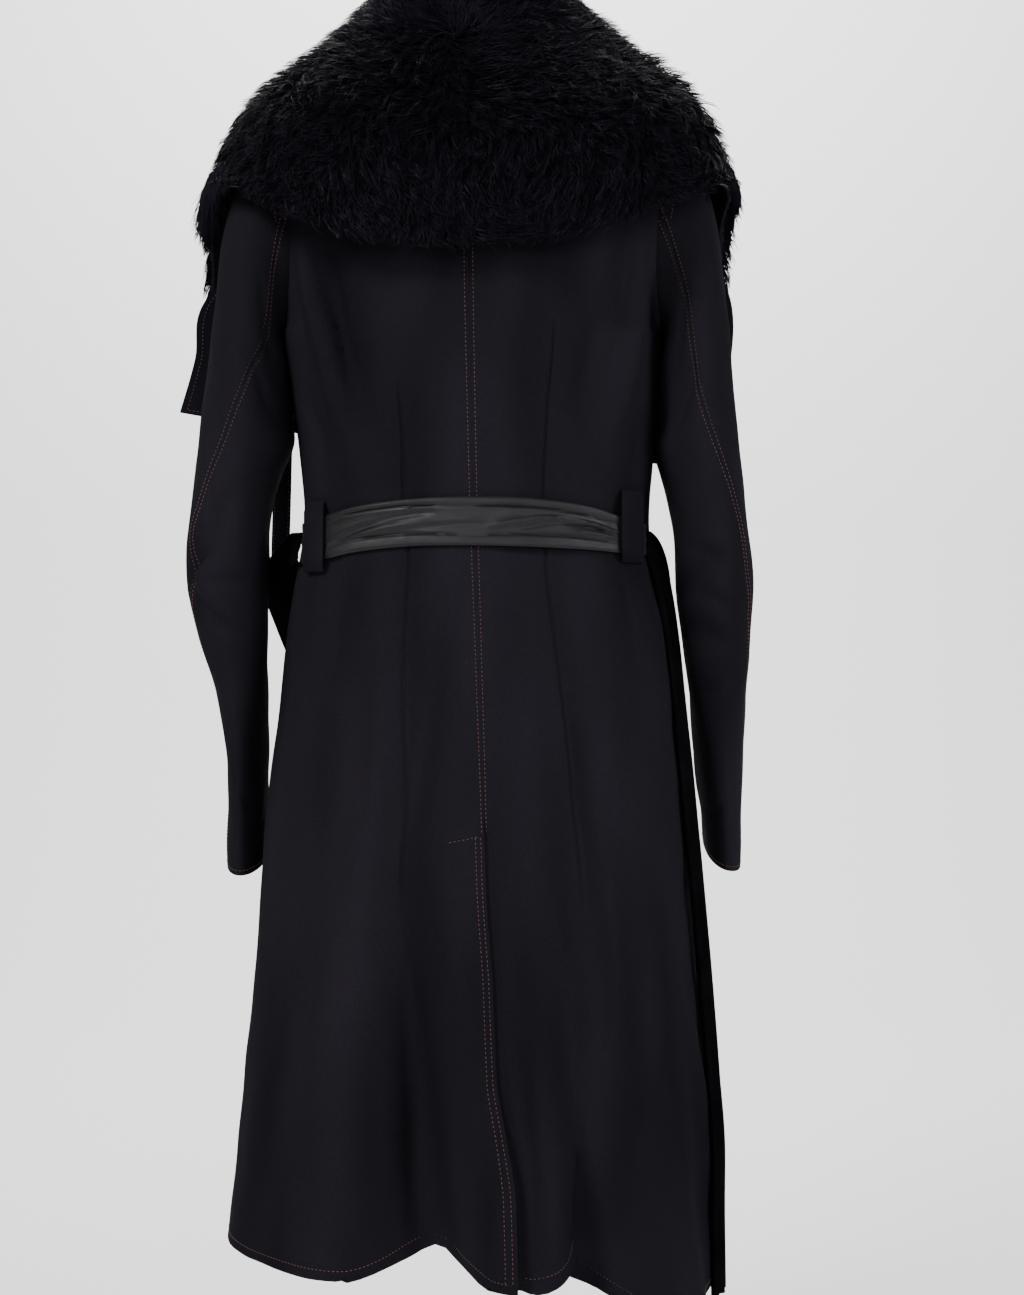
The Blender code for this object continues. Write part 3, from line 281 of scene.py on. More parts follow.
# The belt's free ends: the middle, the direction of the width and half of the width
STRAP_FIELDS = "x y z across_x across_y across_z half_width"
BELT_END_RIGHT = table_of(
    STRAP_FIELDS,
    (0.1539, -0.0365, -0.4262, -0.05, 0.34, 0.94, 0.012),
    (0.1596, -0.0295, -0.4340, 0.30, 0.52, 0.80, 0.013),
    (0.1650, -0.0268, -0.4500, 0.50, 0.75, 0.40, 0.014),
    (0.1692, -0.0266, -0.4690, 0.50, 0.86, 0.10, 0.014),
    (0.1735, -0.0270, -0.4930, 0.40, 0.92, -0.05, 0.015),
    (0.1784, -0.0320, -0.5350, 0.30, 0.95, 0.00, 0.016),
    (0.1833, -0.0370, -0.5850, 0.28, 0.96, 0.00, 0.016),
    (0.1874, -0.0420, -0.6300, 0.28, 0.96, 0.00, 0.016),
    (0.1917, -0.0490, -0.6850, 0.28, 0.96, 0.00, 0.016),
    (0.1978, -0.0540, -0.7500, 0.28, 0.96, 0.00, 0.016),
    (0.2040, -0.0580, -0.8200, 0.28, 0.96, 0.00, 0.016),
    (0.2096, -0.0620, -0.8900, 0.28, 0.96, 0.00, 0.016),
    (0.2138, -0.0650, -0.9500, 0.28, 0.96, 0.00, 0.016),
    (0.2135, -0.0680, -1.0100, 0.28, 0.96, 0.00, 0.016),
    (0.2140, -0.0710, -1.0760, 0.28, 0.96, 0.00, 0.016),
)
BELT_END_LEFT = table_of(
    STRAP_FIELDS,
    (-0.1540, -0.0370, -0.4290, -0.02, 0.34, 0.94, 0.014),
    (-0.1640, -0.0150, -0.4350, 0.05, 0.10, 0.98, 0.017),
    (-0.1740, 0.0150, -0.4480, -0.25, 0.00, 0.96, 0.018),
    (-0.1860, 0.0480, -0.4600, -0.45, 0.05, 0.88, 0.019),
    (-0.1880, 0.0800, -0.4780, -0.60, 0.25, 0.70, 0.019),
    (-0.1780, 0.1040, -0.5060, -0.70, 0.55, 0.40, 0.019),
    (-0.1600, 0.1180, -0.5480, -0.80, 0.55, 0.05, 0.019),
    (-0.1450, 0.1290, -0.6100, -0.85, 0.50, 0.00, 0.019),
    (-0.1370, 0.1380, -0.6900, -0.88, 0.45, 0.00, 0.019),
    (-0.1330, 0.1460, -0.7800, -0.90, 0.42, 0.00, 0.019),
    (-0.1310, 0.1540, -0.8700, -0.90, 0.42, 0.00, 0.019),
    (-0.1300, 0.1620, -0.9500, -0.90, 0.42, 0.00, 0.019),
)
STRAP_PLEAT = 0.0010
STRAP_PLEATS = 1.5
STRAP_FINE = 0.0015

# The belt loops: middle across the back, upper and lower end, and width
BELT_LOOPS = table_of(
    "name x drop_top drop_end width",
    ("belt_loop_left", -0.1370, 0.392, 0.455, 0.0165),
    ("belt_loop_right", 0.1375, 0.383, 0.447, 0.0180),
)
LOOP_CLEARANCE = 0.0068
LOOP_SEAT = 0.0007
LOOP_CLOTH = 0.0022
LOOP_SQUARENESS = 2.2
LOOP_ROUNDING = 0.0007
# The raised part leans this far towards the middle, so that the sides look straight from behind
LOOP_DRAW = 0.0045


def cubic(before, first, second, after, part):
    """The smooth curve's point between first and second."""
    return 0.5 * (
        2 * first + (second - before) * part
        + (2 * before - 5 * first + 4 * second - after) * part ** 2
        + (3 * first - before - 3 * second + after) * part ** 3)


def spline(table, place):
    """Smooth curve through a table's rows at whole numbers of place."""
    rows = np.asarray(table, dtype=float)
    place = np.clip(np.asarray(place, dtype=float), 0, len(rows) - 1)
    low = np.clip(place.astype(int), 0, len(rows) - 2)
    return cubic(rows[np.maximum(low - 1, 0)], rows[low], rows[low + 1],
                 rows[np.minimum(low + 2, len(rows) - 1)], (place - low)[..., None])


def keyed_spline(table, key):
    """Smooth curve through a table whose first column is its rising key."""
    keys = [row[0] for row in table]
    place = np.interp(key, keys, range(len(keys)))
    return spline(table, place)


def smooth_step(value, start, end):
    """0 before start, 1 after end and a soft rise between them."""
    part = np.clip((value - start) / (end - start), 0, 1)
    return part * part * (3 - 2 * part)


def plateau(value, rise_start, rise_end, fall_start, fall_end):
    """1 between a soft rise and a soft fall, and 0 outside them."""
    return smooth_step(value, rise_start, rise_end) * (1 - smooth_step(value, fall_start, fall_end))


def bell(distance, width):
    return np.exp(-(distance / width) ** 2)


def unit(vectors):
    return vectors / np.maximum(np.linalg.norm(vectors, axis=-1, keepdims=True), 1e-12)


def edge_points(row, side, front, inward=0.0):
    """Shoulder seam, armhole or side seam, on the back or front half.

    Inward softens the armhole's depth for points of the panel beside it."""
    table = spline(SECTIONS, row)
    x = np.where(side > 0, table[..., 5], table[..., 4])
    z = table[..., 6]
    top = SECTIONS[SHOULDER_ROW]
    low = SECTIONS[UNDERARM_ROW]
    span = np.clip((row - SHOULDER_ROW) / (UNDERARM_ROW - SHOULDER_ROW), 0, 1)
    turn = math.pi * span
    in_armhole = (span > 0) & (span < 1)
    middle_x = (top.right_x + low.right_x) / 2
    half_x = (top.right_x - low.right_x) / 2
    middle_z = (top.edge_z + low.edge_z) / 2
    half_z = (top.edge_z - low.edge_z) / 2
    hole_x = middle_x + half_x * np.cos(turn) - ARMHOLE_PINCH * np.sin(turn) ** 2
    hole_z = middle_z + half_z * np.cos(turn)
    hole_y = ARMHOLE_DEPTH * np.sin(turn) ** (1 + inward) * np.where(front, 1, -1)
    x = np.where(in_armhole, side * hole_x, x)
    y = np.where(in_armhole, hole_y, 0.0)
    z = np.where(in_armhole, hole_z, z)
    return x, y, z


def plain_coat(row, turn, front):
    """The coat's outer face without its folds, at a row and a turn from the centre back."""
    row = np.clip(np.asarray(row, dtype=float), 0, HEM)
    turn = np.asarray(turn, dtype=float)
    side = np.where(turn < 0, -1.0, 1.0)
    opening = np.abs(turn)
    joined = (row <= SHOULDER_ROW) | (row >= UNDERARM_ROW)
    quarter = math.pi / 2
    front_now = np.where(joined, opening > quarter, front)
    opening = np.where(joined, opening, np.where(
        front, np.maximum(opening, quarter), np.minimum(opening, quarter)))
    table = spline(SECTIONS, row)
    inward = ARMHOLE_FADE * smooth_step(
        np.abs(opening - quarter), ARMHOLE_FADE_START, ARMHOLE_FADE_END)
    edge_x, edge_y, edge_z = edge_points(row, side, front_now, inward)
    middle_y = np.where(front_now, table[..., 2], table[..., 0])
    middle_z = np.where(front_now, table[..., 3], table[..., 1])
    seam_x = np.where(front_now, 0.0, keyed_spline(CENTRE_BACK, -table[..., 1])[..., 1])
    across = np.abs(np.cos(opening))
    x = seam_x + (edge_x - seam_x) * np.sin(opening)
    y = edge_y + (middle_y - edge_y) * across ** table[..., 7]
    z = edge_z + (middle_z - edge_z) * across ** 2
    z = z - HEM_DIP * smooth_step(x, *HEM_DIP_SIDE) * smooth_step(-z, *HEM_DIP_DROP)
    return np.stack([x, y, z], axis=-1)


def outward(place, row, turn):
    """Outward unit normals of a surface given as place(row, turn)."""
    down = place(row + STEP, turn) - place(row - STEP, turn)
    around = place(row, turn + STEP) - place(row, turn - STEP)
    return unit(np.cross(down, around))


def fold_depth(points, turn, panel):
    """How far the folds move each point of a panel out or in."""
    x = points[..., 0]
    drop = -points[..., 2]
    sides = SECTIONS[UNDERARM_ROW:]
    edge = np.interp(drop, [-row.edge_z for row in sides], [row.right_x for row in sides])
    round_turn = np.degrees(np.arcsin(np.clip(x / edge, -1, 1)))
    at_side = smooth_step(np.abs(turn), SIDE_TURN_START, SIDE_TURN_END)
    round_turn = round_turn + (np.degrees(turn) - round_turn) * at_side
    depth = np.zeros_like(x)
    for flute in FLUTES:
        grown = np.clip((drop - flute.start) / (HEM_DROP - flute.start), 0, 1.05)
        middle = flute.turn_start + (flute.turn_hem - flute.turn_start) * grown
        depth += flute.depth * grown ** FLUTE_GROWTH * bell(round_turn - middle, flute.width)
    if not panel.startswith("front"):
        for fold in BLADE_FOLDS:
            along = (drop - fold.drop_top) / (fold.drop_end - fold.drop_top)
            middle = fold.x_top + (fold.x_end - fold.x_top) * along
            depth += fold.depth * plateau(along, -0.1, 0.25, 0.7, 1.1) * bell(x - middle, fold.width)
    seam = keyed_spline(CENTRE_BACK, drop)[..., 1]
    if panel == "back_left":
        flare = smooth_step(drop, FLARE_START, FLARE_END) * bell(x - seam, FLARE_WIDTH)
        depth += VENT_FLARE * flare
    if panel == "back_right":
        under = vent_sink(drop) * (1 - smooth_step(x - seam, 0.002, 0.013))
        depth -= (CLOTH + VENT_CLEARANCE) * under
    return depth


def vent_sink(drop):
    """0 above the vent and 1 below its top."""
    return smooth_step(drop, VENT_TOP - VENT_SINK_START, VENT_TOP - VENT_SINK_END)


def coat_surface(panel):
    """The folded outer face of one panel as a function of row and turn."""
    def plain(row, turn):
        return plain_coat(row, turn, panel.startswith("front"))

    def place(row, turn):
        points = plain(row, turn)
        depth = fold_depth(points, turn, panel)
        level = outward(plain, row, turn) * np.array([1.0, 1.0, 0.0])
        rise = np.maximum(-depth, 0) * TROUGH_RISE
        rise = rise * smooth_step(-points[..., 2], RISE_START, RISE_END)
        return points + unit(level) * depth[..., None] + rise[..., None] * UP
    return place


def find_on_back(x, drop):
    """Row and turn of the point of the back at x and at a height."""
    low = np.zeros_like(x + drop)
    high = np.full_like(low, HEM)
    turn = np.zeros_like(low)
    for _ in range(30):
        row = (low + high) / 2
        side = np.where(x < 0, -1.0, 1.0)
        edge_x = edge_points(row, side, False)[0]
        seam = keyed_spline(CENTRE_BACK, drop)[..., 1]
        turn = np.arcsin(np.clip((x - seam) / np.abs(edge_x - seam), -1, 1))
        above = plain_coat(row, turn, False)[..., 2] > -drop
        low = np.where(above, row, low)
        high = np.where(above, high, row)
    return (low + high) / 2, turn


def lifted_back(x, drop, lift):
    """Points over the back at x and at a height, moved out by lift."""
    row, turn = find_on_back(x, drop)
    place = coat_surface("")
    return place(row, turn) + outward(place, row, turn) * lift[..., None]


def side_gap(row, half_y):
    """The turn that keeps half a seam gap at the side seam."""
    squareness = spline(SECTIONS, row)[..., 7]
    return (SEAM_GAP / 2 / np.abs(half_y)) ** (1 / squareness)


def front_turn(rows, side, distance=0.0):
    """The turn of a front edge, or of a line that lies beyond it."""
    table = spline(SECTIONS, rows)
    half = np.abs(table[..., 5] if side > 0 else table[..., 4])
    edge = table[..., 9] if side > 0 else table[..., 8]
    return math.pi - np.arcsin((edge + distance) / half)


def sleeve_surface(rings, side):
    """A sleeve's outer face by ring and by turn from its outer side towards the back."""
    def plain(ring, turn):
        ring = np.clip(np.asarray(ring, dtype=float), 0, CUFF)
        table = spline(rings, ring)
        middle_x = (table[..., 0] + table[..., 2]) / 2
        middle_z = (table[..., 1] + table[..., 3]) / 2
        half_x = (table[..., 0] - table[..., 2]) / 2
        half_z = (table[..., 1] - table[..., 3]) / 2
        x = middle_x + half_x * np.cos(turn) - side * table[..., 6] * np.sin(turn) ** 2
        y = table[..., 4] - table[..., 5] * np.sin(turn)
        lean = RING_LEAN * table[..., 5] * smooth_step(ring, LEAN_START, LEAN_END)
        z = middle_z + half_z * np.cos(turn) - lean * np.sin(turn)
        return np.stack([x, y, z], axis=-1)

    def place(ring, turn):
        points = plain(ring, turn)
        depth = np.zeros_like(points[..., 0])
        for crease in SLEEVE_CREASES:
            if crease.side != side:
                continue
            start = np.array([crease.x_start, crease.z_start])
            line = np.array([crease.x_end, crease.z_end]) - start
            length = np.linalg.norm(line)
            offset = points[..., (0, 2)] - start
            along = offset @ line / length ** 2
            away = (offset[..., 0] * line[1] - offset[..., 1] * line[0]) / length
            fade = plateau(along, -0.15, 0.1, 0.55, 1.1)
            behind = smooth_step(np.sin(turn), 0.0, 0.5)
            depth += crease.depth * fade * behind * bell(away, crease.width)
        return points - side * outward(plain, ring, turn) * depth[..., None]
    return place


def neck_line(station):
    """The neck seam under each station of the collar."""
    table = spline(COLLAR, np.abs(station))
    turn = np.where(station < 0, -1.0, 1.0) * np.radians(table[..., 9])
    return plain_coat(table[..., 10], turn, table[..., 9] > 90)


def collar_controls(station):
    """The collar's profile points at each station, which is negative on the left."""
    left = station < 0
    table = spline(COLLAR, np.abs(station))
    side = np.where(left, -1.0, 1.0)
    fold = table[..., 0:3].copy()
    fold[..., 0] *= side
    edge = np.where(left[..., None], table[..., 6:9], table[..., 3:6])
    neck = neck_line(station)
    radial = fold - np.array([0.0, COLLAR_CENTRE_Y, 0.0])
    radial[..., 2] = 0
    radial = unit(radial)
    along = unit(neck_line(station + STEP) - neck_line(station - STEP))
    rise = unit(UP - along * np.sum(along * UP, axis=-1, keepdims=True))
    away = unit(radial - along * np.sum(along * radial, axis=-1, keepdims=True))
    lift = FOOT_LIFT + FOOT_RISE * smooth_step(np.abs(station), 4, COLLAR_END)
    foot = neck + rise * lift[..., None] - away * (STAND_INSET + 2 * lift[..., None])
    inside = fold - radial * FOLD_RADIUS
    top = fold + UP * FOLD_RADIUS
    outside = fold + radial * FOLD_RADIUS
    fall = edge - outside
    bulge = radial + UP
    bulge = bulge - unit(fall) * np.sum(bulge * unit(fall), axis=-1, keepdims=True)
    bulge = unit(bulge) * COLLAR_BULGE
    return np.stack([
        foot, foot + (inside - foot) * STAND_MIDDLE, inside, top, outside,
        outside + fall * FALL_UPPER + bulge * BULGE_UPPER,
        outside + fall * FALL_LOWER + bulge * BULGE_LOWER, edge], axis=-2)


def collar_surface(station, profile):
    """The tips of the fur by station from the centre back and by place along the profile."""
    station = np.clip(np.asarray(station, dtype=float), -COLLAR_END, COLLAR_END)
    controls = collar_controls(station)
    inside = np.clip(profile, 0, PROFILE_END)

    def read(place):
        low = np.clip(place.astype(int), 0, PROFILE_END - 1)
        part = (place - low)[..., None]
        rows = [np.take_along_axis(controls, np.clip(low + k, 0, PROFILE_END)[..., None, None],
                                   axis=-2)[..., 0, :] for k in (-1, 0, 1, 2)]
        return cubic(*rows, part)

    points = read(inside)
    beyond = (profile - inside)[..., None]
    slope = (points - read(np.clip(inside - 0.05, 0, PROFILE_END))) / 0.05
    return points + slope * beyond


def collar_grid(stations, profile, depth):
    """A grid of the collar's points, at a depth under the tips of the fur."""
    grid_station = np.repeat(stations[:, None], len(profile), axis=1)
    grid_profile = np.repeat(profile[None, :], len(stations), axis=0)
    later = collar_surface(grid_station + PROBE, grid_profile)
    earlier = collar_surface(grid_station - PROBE, grid_profile)
    lower = collar_surface(grid_station, np.minimum(grid_profile + PROBE, profile[-1]))
    upper = collar_surface(grid_station, np.maximum(grid_profile - PROBE, 0))
    normal = unit(np.cross(lower - upper, later - earlier))
    return collar_surface(grid_station, grid_profile) - normal * depth(grid_profile)[..., None]


def pile_depth(profile):
    """The depth of the fur's pile at a place along the collar's profile."""
    return spline([(depth,) for depth in PILE], profile)[..., 0]


# Fine relief of the cloth: soft creases by the line that each follows on the back or front
CREASE_FIELDS = "x_start drop_start x_end drop_end width depth"
BACK_CREASES = table_of(
    CREASE_FIELDS,
    (-0.154, 0.165, -0.107, 0.385, 0.0085, 0.0056),
    (-0.143, 0.150, -0.103, 0.330, 0.0085, -0.0062),
    (-0.150, 0.290, -0.126, 0.395, 0.0060, -0.0030),
    (0.155, 0.168, 0.108, 0.372, 0.0085, 0.0056),
    (0.144, 0.155, 0.092, 0.350, 0.0085, -0.0064),
    (0.152, 0.300, 0.128, 0.398, 0.0060, -0.0030),
    (-0.036, 0.450, -0.060, 0.690, 0.0153, -0.0119),
    (0.096, 0.600, 0.116, 0.980, 0.0144, -0.0150),
    (0.062, 0.520, 0.076, 0.830, 0.0144, 0.0094),
    (0.136, 0.640, 0.150, 0.960, 0.0135, 0.0081),
    (-0.084, 0.460, -0.096, 0.780, 0.0144, 0.0081),
    (-0.066, 0.740, -0.050, 1.030, 0.0126, -0.0100),
    (-0.020, 0.720, -0.010, 0.980, 0.0117, 0.0075),
    (-0.128, 0.540, -0.160, 0.880, 0.0153, -0.0088),
    (0.126, 0.451, 0.136, 0.552, 0.0022, -0.0024),
    (-0.129, 0.449, -0.141, 0.530, 0.0022, -0.0024),
    (0.048, 0.840, 0.058, 1.040, 0.0090, -0.0088),
    (-0.118, 0.372, -0.096, 0.300, 0.0070, -0.0016),
    (-0.086, 0.380, -0.074, 0.330, 0.0060, -0.0010),
    (-0.126, 0.300, -0.070, 0.262, 0.0090, -0.0012),
    (0.120, 0.368, 0.094, 0.292, 0.0070, -0.0017),
    (0.090, 0.378, 0.070, 0.318, 0.0060, -0.0011),
    (0.128, 0.288, 0.066, 0.250, 0.0100, -0.0013),
    (-0.040, 0.190, 0.030, 0.204, 0.0120, -0.0007),
    (-0.112, 0.458, -0.124, 0.560, 0.0080, -0.0015),
    (-0.082, 0.460, -0.088, 0.525, 0.0070, 0.0011),
    (-0.030, 0.455, -0.026, 0.500, 0.0080, -0.0008),
    (0.034, 0.452, 0.040, 0.520, 0.0080, -0.0010),
    (0.092, 0.458, 0.104, 0.575, 0.0090, -0.0016),
    (0.122, 0.462, 0.140, 0.540, 0.0080, 0.0012),
    (-0.105, 0.640, -0.118, 0.860, 0.0160, 0.0022),
    (-0.150, 0.720, -0.166, 0.980, 0.0140, -0.0026),
    (-0.090, 0.800, -0.098, 1.040, 0.0130, 0.0026),
    (0.140, 0.700, 0.158, 0.900, 0.0130, -0.0022),
    (0.163, 0.760, 0.205, 1.065, 0.0045, 0.0055),
    (0.044, 0.760, 0.052, 0.960, 0.0110, -0.0016),
    (-0.004, 0.760, 0.000, 0.990, 0.0100, 0.0018),
)
FRONT_CREASES = table_of(
    CREASE_FIELDS,
    (-0.120, 0.366, -0.100, 0.296, 0.008, -0.0015),
    (-0.096, 0.300, -0.124, 0.240, 0.010, -0.0013),
    (0.118, 0.370, 0.092, 0.290, 0.008, -0.0015),
    (0.090, 0.305, 0.126, 0.246, 0.010, -0.0012),
    (-0.110, 0.470, -0.130, 0.600, 0.009, -0.0018),
    (0.104, 0.465, 0.128, 0.590, 0.009, -0.0017),
    (-0.088, 0.620, -0.100, 0.900, 0.015, 0.0024),
    (0.082, 0.640, 0.096, 0.960, 0.014, 0.0022),
    (-0.150, 0.740, -0.172, 1.000, 0.013, -0.0026),
    (0.146, 0.720, 0.168, 0.980, 0.013, -0.0024),
)

# Creases of a sleeve, by ring and turn
SLEEVE_LINES = table_of(
    "side ring_start turn_start ring_end turn_end width depth",
    (-1, 8.6, 20, 7.2, 120, 0.007, -0.0024),
    (-1, 9.2, 30, 9.9, 130, 0.007, -0.0022),
    (-1, 8.8, 60, 8.3, 150, 0.006, -0.0016),
    (-1, 10.4, 40, 11.2, 110, 0.008, -0.0014),
    (-1, 3.0, 150, 1.6, 100, 0.009, -0.0014),
    (-1, 4.6, 160, 3.4, 120, 0.008, -0.0012),
    (-1, 12.4, 60, 13.4, 130, 0.008, -0.0010),
    (-1, 8.6, -20, 8.0, -100, 0.009, -0.0022),
    (-1, 9.6, -30, 10.4, -110, 0.008, -0.0018),
    (-1, 5.2, -60, 4.2, -130, 0.010, -0.0014),
    (-1, 7.0, -150, 6.2, -100, 0.008, -0.0016),
    (1, 9.4, 30, 8.6, 140, 0.007, -0.0020),
    (1, 8.2, 70, 7.4, 150, 0.007, -0.0014),
    (1, 10.2, 40, 11.0, 140, 0.008, -0.0016),
    (1, 3.2, 150, 1.8, 100, 0.009, -0.0014),
    (1, 5.0, 150, 4.0, 110, 0.008, -0.0011),
    (1, 12.8, 70, 13.6, 140, 0.008, -0.0010),
    (1, 9.0, -20, 8.2, -110, 0.009, -0.0022),
    (1, 10.0, -40, 10.8, -120, 0.008, -0.0016),
    (1, 5.6, -50, 4.8, -120, 0.010, -0.0013),
)

# The long darts of the back, by drop and x
DART_FIELDS = "drop x"
DART_LEFT = table_of(
    DART_FIELDS,
    (0.284, -0.0642), (0.344, -0.0595), (0.391, -0.0589),
    (0.441, -0.0544), (0.522, -0.0568), (0.630, -0.0559),
    (0.742, -0.0595),
)
DART_RIGHT = table_of(
    DART_FIELDS,
    (0.232, 0.0711), (0.344, 0.0629), (0.391, 0.0613),
    (0.441, 0.0629), (0.548, 0.0743), (0.631, 0.0816),
    (0.737, 0.0948),
)
DART_WIDTH = 0.0014
DART_DEPTH = 0.0017
# The cloth swells beside a dart, at this distance and over this width
DART_SWELL = 0.3
DART_SWELL_PLACE = 0.004
DART_SWELL_WIDTH = 0.003
DART_FADE = 0.03
SEAM_WIDTH = 0.0013
SEAM_DEPTH = 0.0008
# The shallow groove that a row of stitches pulls into the cloth
ROW_GROOVE = 0.0003
ROW_GROOVE_WIDTH = 0.0009
# Noise and creases fade near a seam, up to this cosine of the turn
SEAM_CALM = 0.22
# Ridges stay away from the cloth under the belt, between these drops
UNDER_BELT = (0.365, 0.385, 0.450, 0.470)
# Height and size of the cloth's two noises, on the panels and on the sleeves
PANEL_NOISE = ((0.0007, 3, 0.034), (0.0022, 4, 0.085))
SLEEVE_NOISE = ((0.0008, 11, 0.03), (0.0013, 12, 0.07))

# Half of the distance between the two rows beside the centre back seam, by drop
CENTRE_ROWS = table_of(
    "drop half", (0.12, 0.0038), (0.40, 0.0031), (0.56, 0.0024), (0.68, 0.0019))
# The seam allowance that the right back panel turns in under the left one
SEAM_ALLOWANCE = 0.005
ALLOWANCE_GAP = 0.0003
# Distances of the other rows of stitches from the edge or seam that each follows
HEM_ROW = 0.012
EDGE_ROW = 0.006
SLEEVE_ROW = 0.0042
CUFF_ROW = 0.008
VENT_EDGE_ROWS = (0.0028, 0.0068)
# The height of one row of the sections at the hem, and of one ring at the cuff
HEM_ROW_HEIGHT = 0.092
CUFF_RING_HEIGHT = 0.037
# The rings of the two rows at the top of a sleeve
CAP_ROWS = (0.22, 0.62)
# How far a sleeve is moved to the body at its armhole and pressed to it below
ARMHOLE_CLOSING = 0.0010
SIDE_PRESS = 0.0060
SLEEVE_CREASING = 1.7
# Metres that one ring and one radian stand for in the creases of a sleeve
RING_HEIGHT = 0.045
SLEEVE_RADIUS = 0.062
# The gap at a sleeve's seams, as a multiple of the other seams' gap
SLEEVE_GAP = 1.6

# One stitch of the thick rust-coloured thread, and how deep its ends sink in
STITCH_PITCH = 0.0037
STITCH_LENGTH = 0.0027
STITCH_HALF_WIDTH = 0.00045
STITCH_RISE = 0.0005
STITCH_SINK = 0.0001

# The pale edge of the fur's skin, and how far it and the cloth under it reach past the fur
EDGE_SKIN = 0.0012
SKIN_LEVEL = 0.72
EDGE_LIP = 0.022
CLOTH_LIP = 0.012


def line_depth(x, y, start, end, width, depth):
    """A soft, slightly bowed crease along a line in a plane, deepest at its middle."""
    run = np.array(end) - start
    length = np.linalg.norm(run)
    along = ((x - start[0]) * run[0] + (y - start[1]) * run[1]) / length ** 2
    away = ((x - start[0]) * run[1] - (y - start[1]) * run[0]) / length
    bow = 0.04 * length * np.sin(math.pi * np.clip(along, 0, 1))
    return depth * plateau(along, -0.1, 0.35, 0.6, 1.1) * bell(away - bow, width)


def soft_noise(points, seed, size):
    """Smooth noise from a few crossed waves of about one size."""
    dice = np.random.default_rng(seed)
    total = np.zeros(points.shape[:-1])
    for _ in range(7):
        wave = dice.normal(size=3) / size * 1.6
        total += np.sin(points @ wave + dice.uniform(0, 2 * math.pi))
    return total / 7 ** 0.5


def cloth_relief(points, front, inside):
    """The fine relief of the coat's panels."""
    x = points[..., 0]
    drop = -points[..., 2]
    depth = sum(height * soft_noise(points, seed, size) for height, seed, size in PANEL_NOISE) * inside
    for crease in FRONT_CREASES if front else BACK_CREASES:
        depth += line_depth(x, drop, crease[0:2], crease[2:4], crease.width, crease.depth) * inside
    if front:
        return depth
    belt = plateau(drop, *UNDER_BELT)
    depth = depth * (1 - belt) + np.minimum(depth, 0) * belt
    for dart in (DART_LEFT, DART_RIGHT):
        away = np.abs(x - keyed_spline(dart, drop)[..., 1])
        top = dart[0].drop
        end = dart[-1].drop
        span = plateau(drop, top, top + DART_FADE, end - DART_FADE, end)
        groove = DART_DEPTH * bell(away, DART_WIDTH)
        groove = groove - DART_SWELL * DART_DEPTH * bell(away - DART_SWELL_PLACE, DART_SWELL_WIDTH)
        depth -= groove * span
    away = np.abs(x - keyed_spline(CENTRE_BACK, drop)[..., 1])
    spread = keyed_spline(CENTRE_ROWS, drop)[..., 1]
    joined = 1 - smooth_step(drop, VENT_TOP - 0.005, VENT_TOP + 0.005)
    sewn = bell(away - spread, ROW_GROOVE_WIDTH) * ROW_GROOVE
    return depth - (SEAM_DEPTH * bell(away, SEAM_WIDTH) + sewn) * joined


def fine_coat(panel, row, turn):
    """Points of a panel's outer face with all of its relief, and its plain outward normals."""
    place = coat_surface(panel)
    points = place(row, turn)
    normal = outward(place, row, turn)
    inside = smooth_step(np.abs(np.cos(turn)), 0.0, SEAM_CALM)
    relief = cloth_relief(points, panel.startswith("front"), inside)
    return points + normal * relief[..., None], normal


def fill(anchors, step):
    """Values between anchors, at even steps no longer than step."""
    values = [anchors[0]]
    for low, high in zip(anchors, anchors[1:]):
        count = max(1, math.ceil((high - low) / step - 1e-9))
        values.extend(low + (high - low) * (k + 1) / count for k in range(count))
    return np.array(values)


def fine_rows():
    """Rows of a panel, with two close ones at the top of the vent."""
    return fill([0, SHOULDER_ROW, UNDERARM_ROW, 9, VENT_ROW - 0.02, VENT_ROW, VENT_ROW + 0.035, HEM], 0.11)


def make_grid(rows, turns):
    """The rows and turns of a panel's points, from one turn a row for each column."""
    turns = np.stack(turns, axis=1)
    return np.repeat(rows[:, None], turns.shape[1], axis=1), turns


def make_shell(name, outer, inner, material):
    """A thin closed wall between two grids of points, as a named piece."""
    rows, columns = outer.shape[:2]
    count = rows * columns
    points = np.concatenate([outer.reshape(-1, 3), inner.reshape(-1, 3)])
    index = np.arange(count).reshape(rows, columns)
    corner = np.stack([index[:-1, :-1], index[1:, :-1], index[1:, 1:], index[:-1, 1:]], axis=-1)
    corner = corner.reshape(-1, 4)
    faces = [corner, corner[:, ::-1] + count]
    for edge, flip in ((index[0], True), (index[-1], False), (index[:, 0], False), (index[:, -1], True)):
        rim = np.stack([edge[:-1], edge[1:], edge[1:] + count, edge[:-1] + count], axis=-1)
        faces.append(rim if flip else rim[:, ::-1])
    return make_mesh(name, points, np.concatenate(faces), material, sharp=math.radians(55))


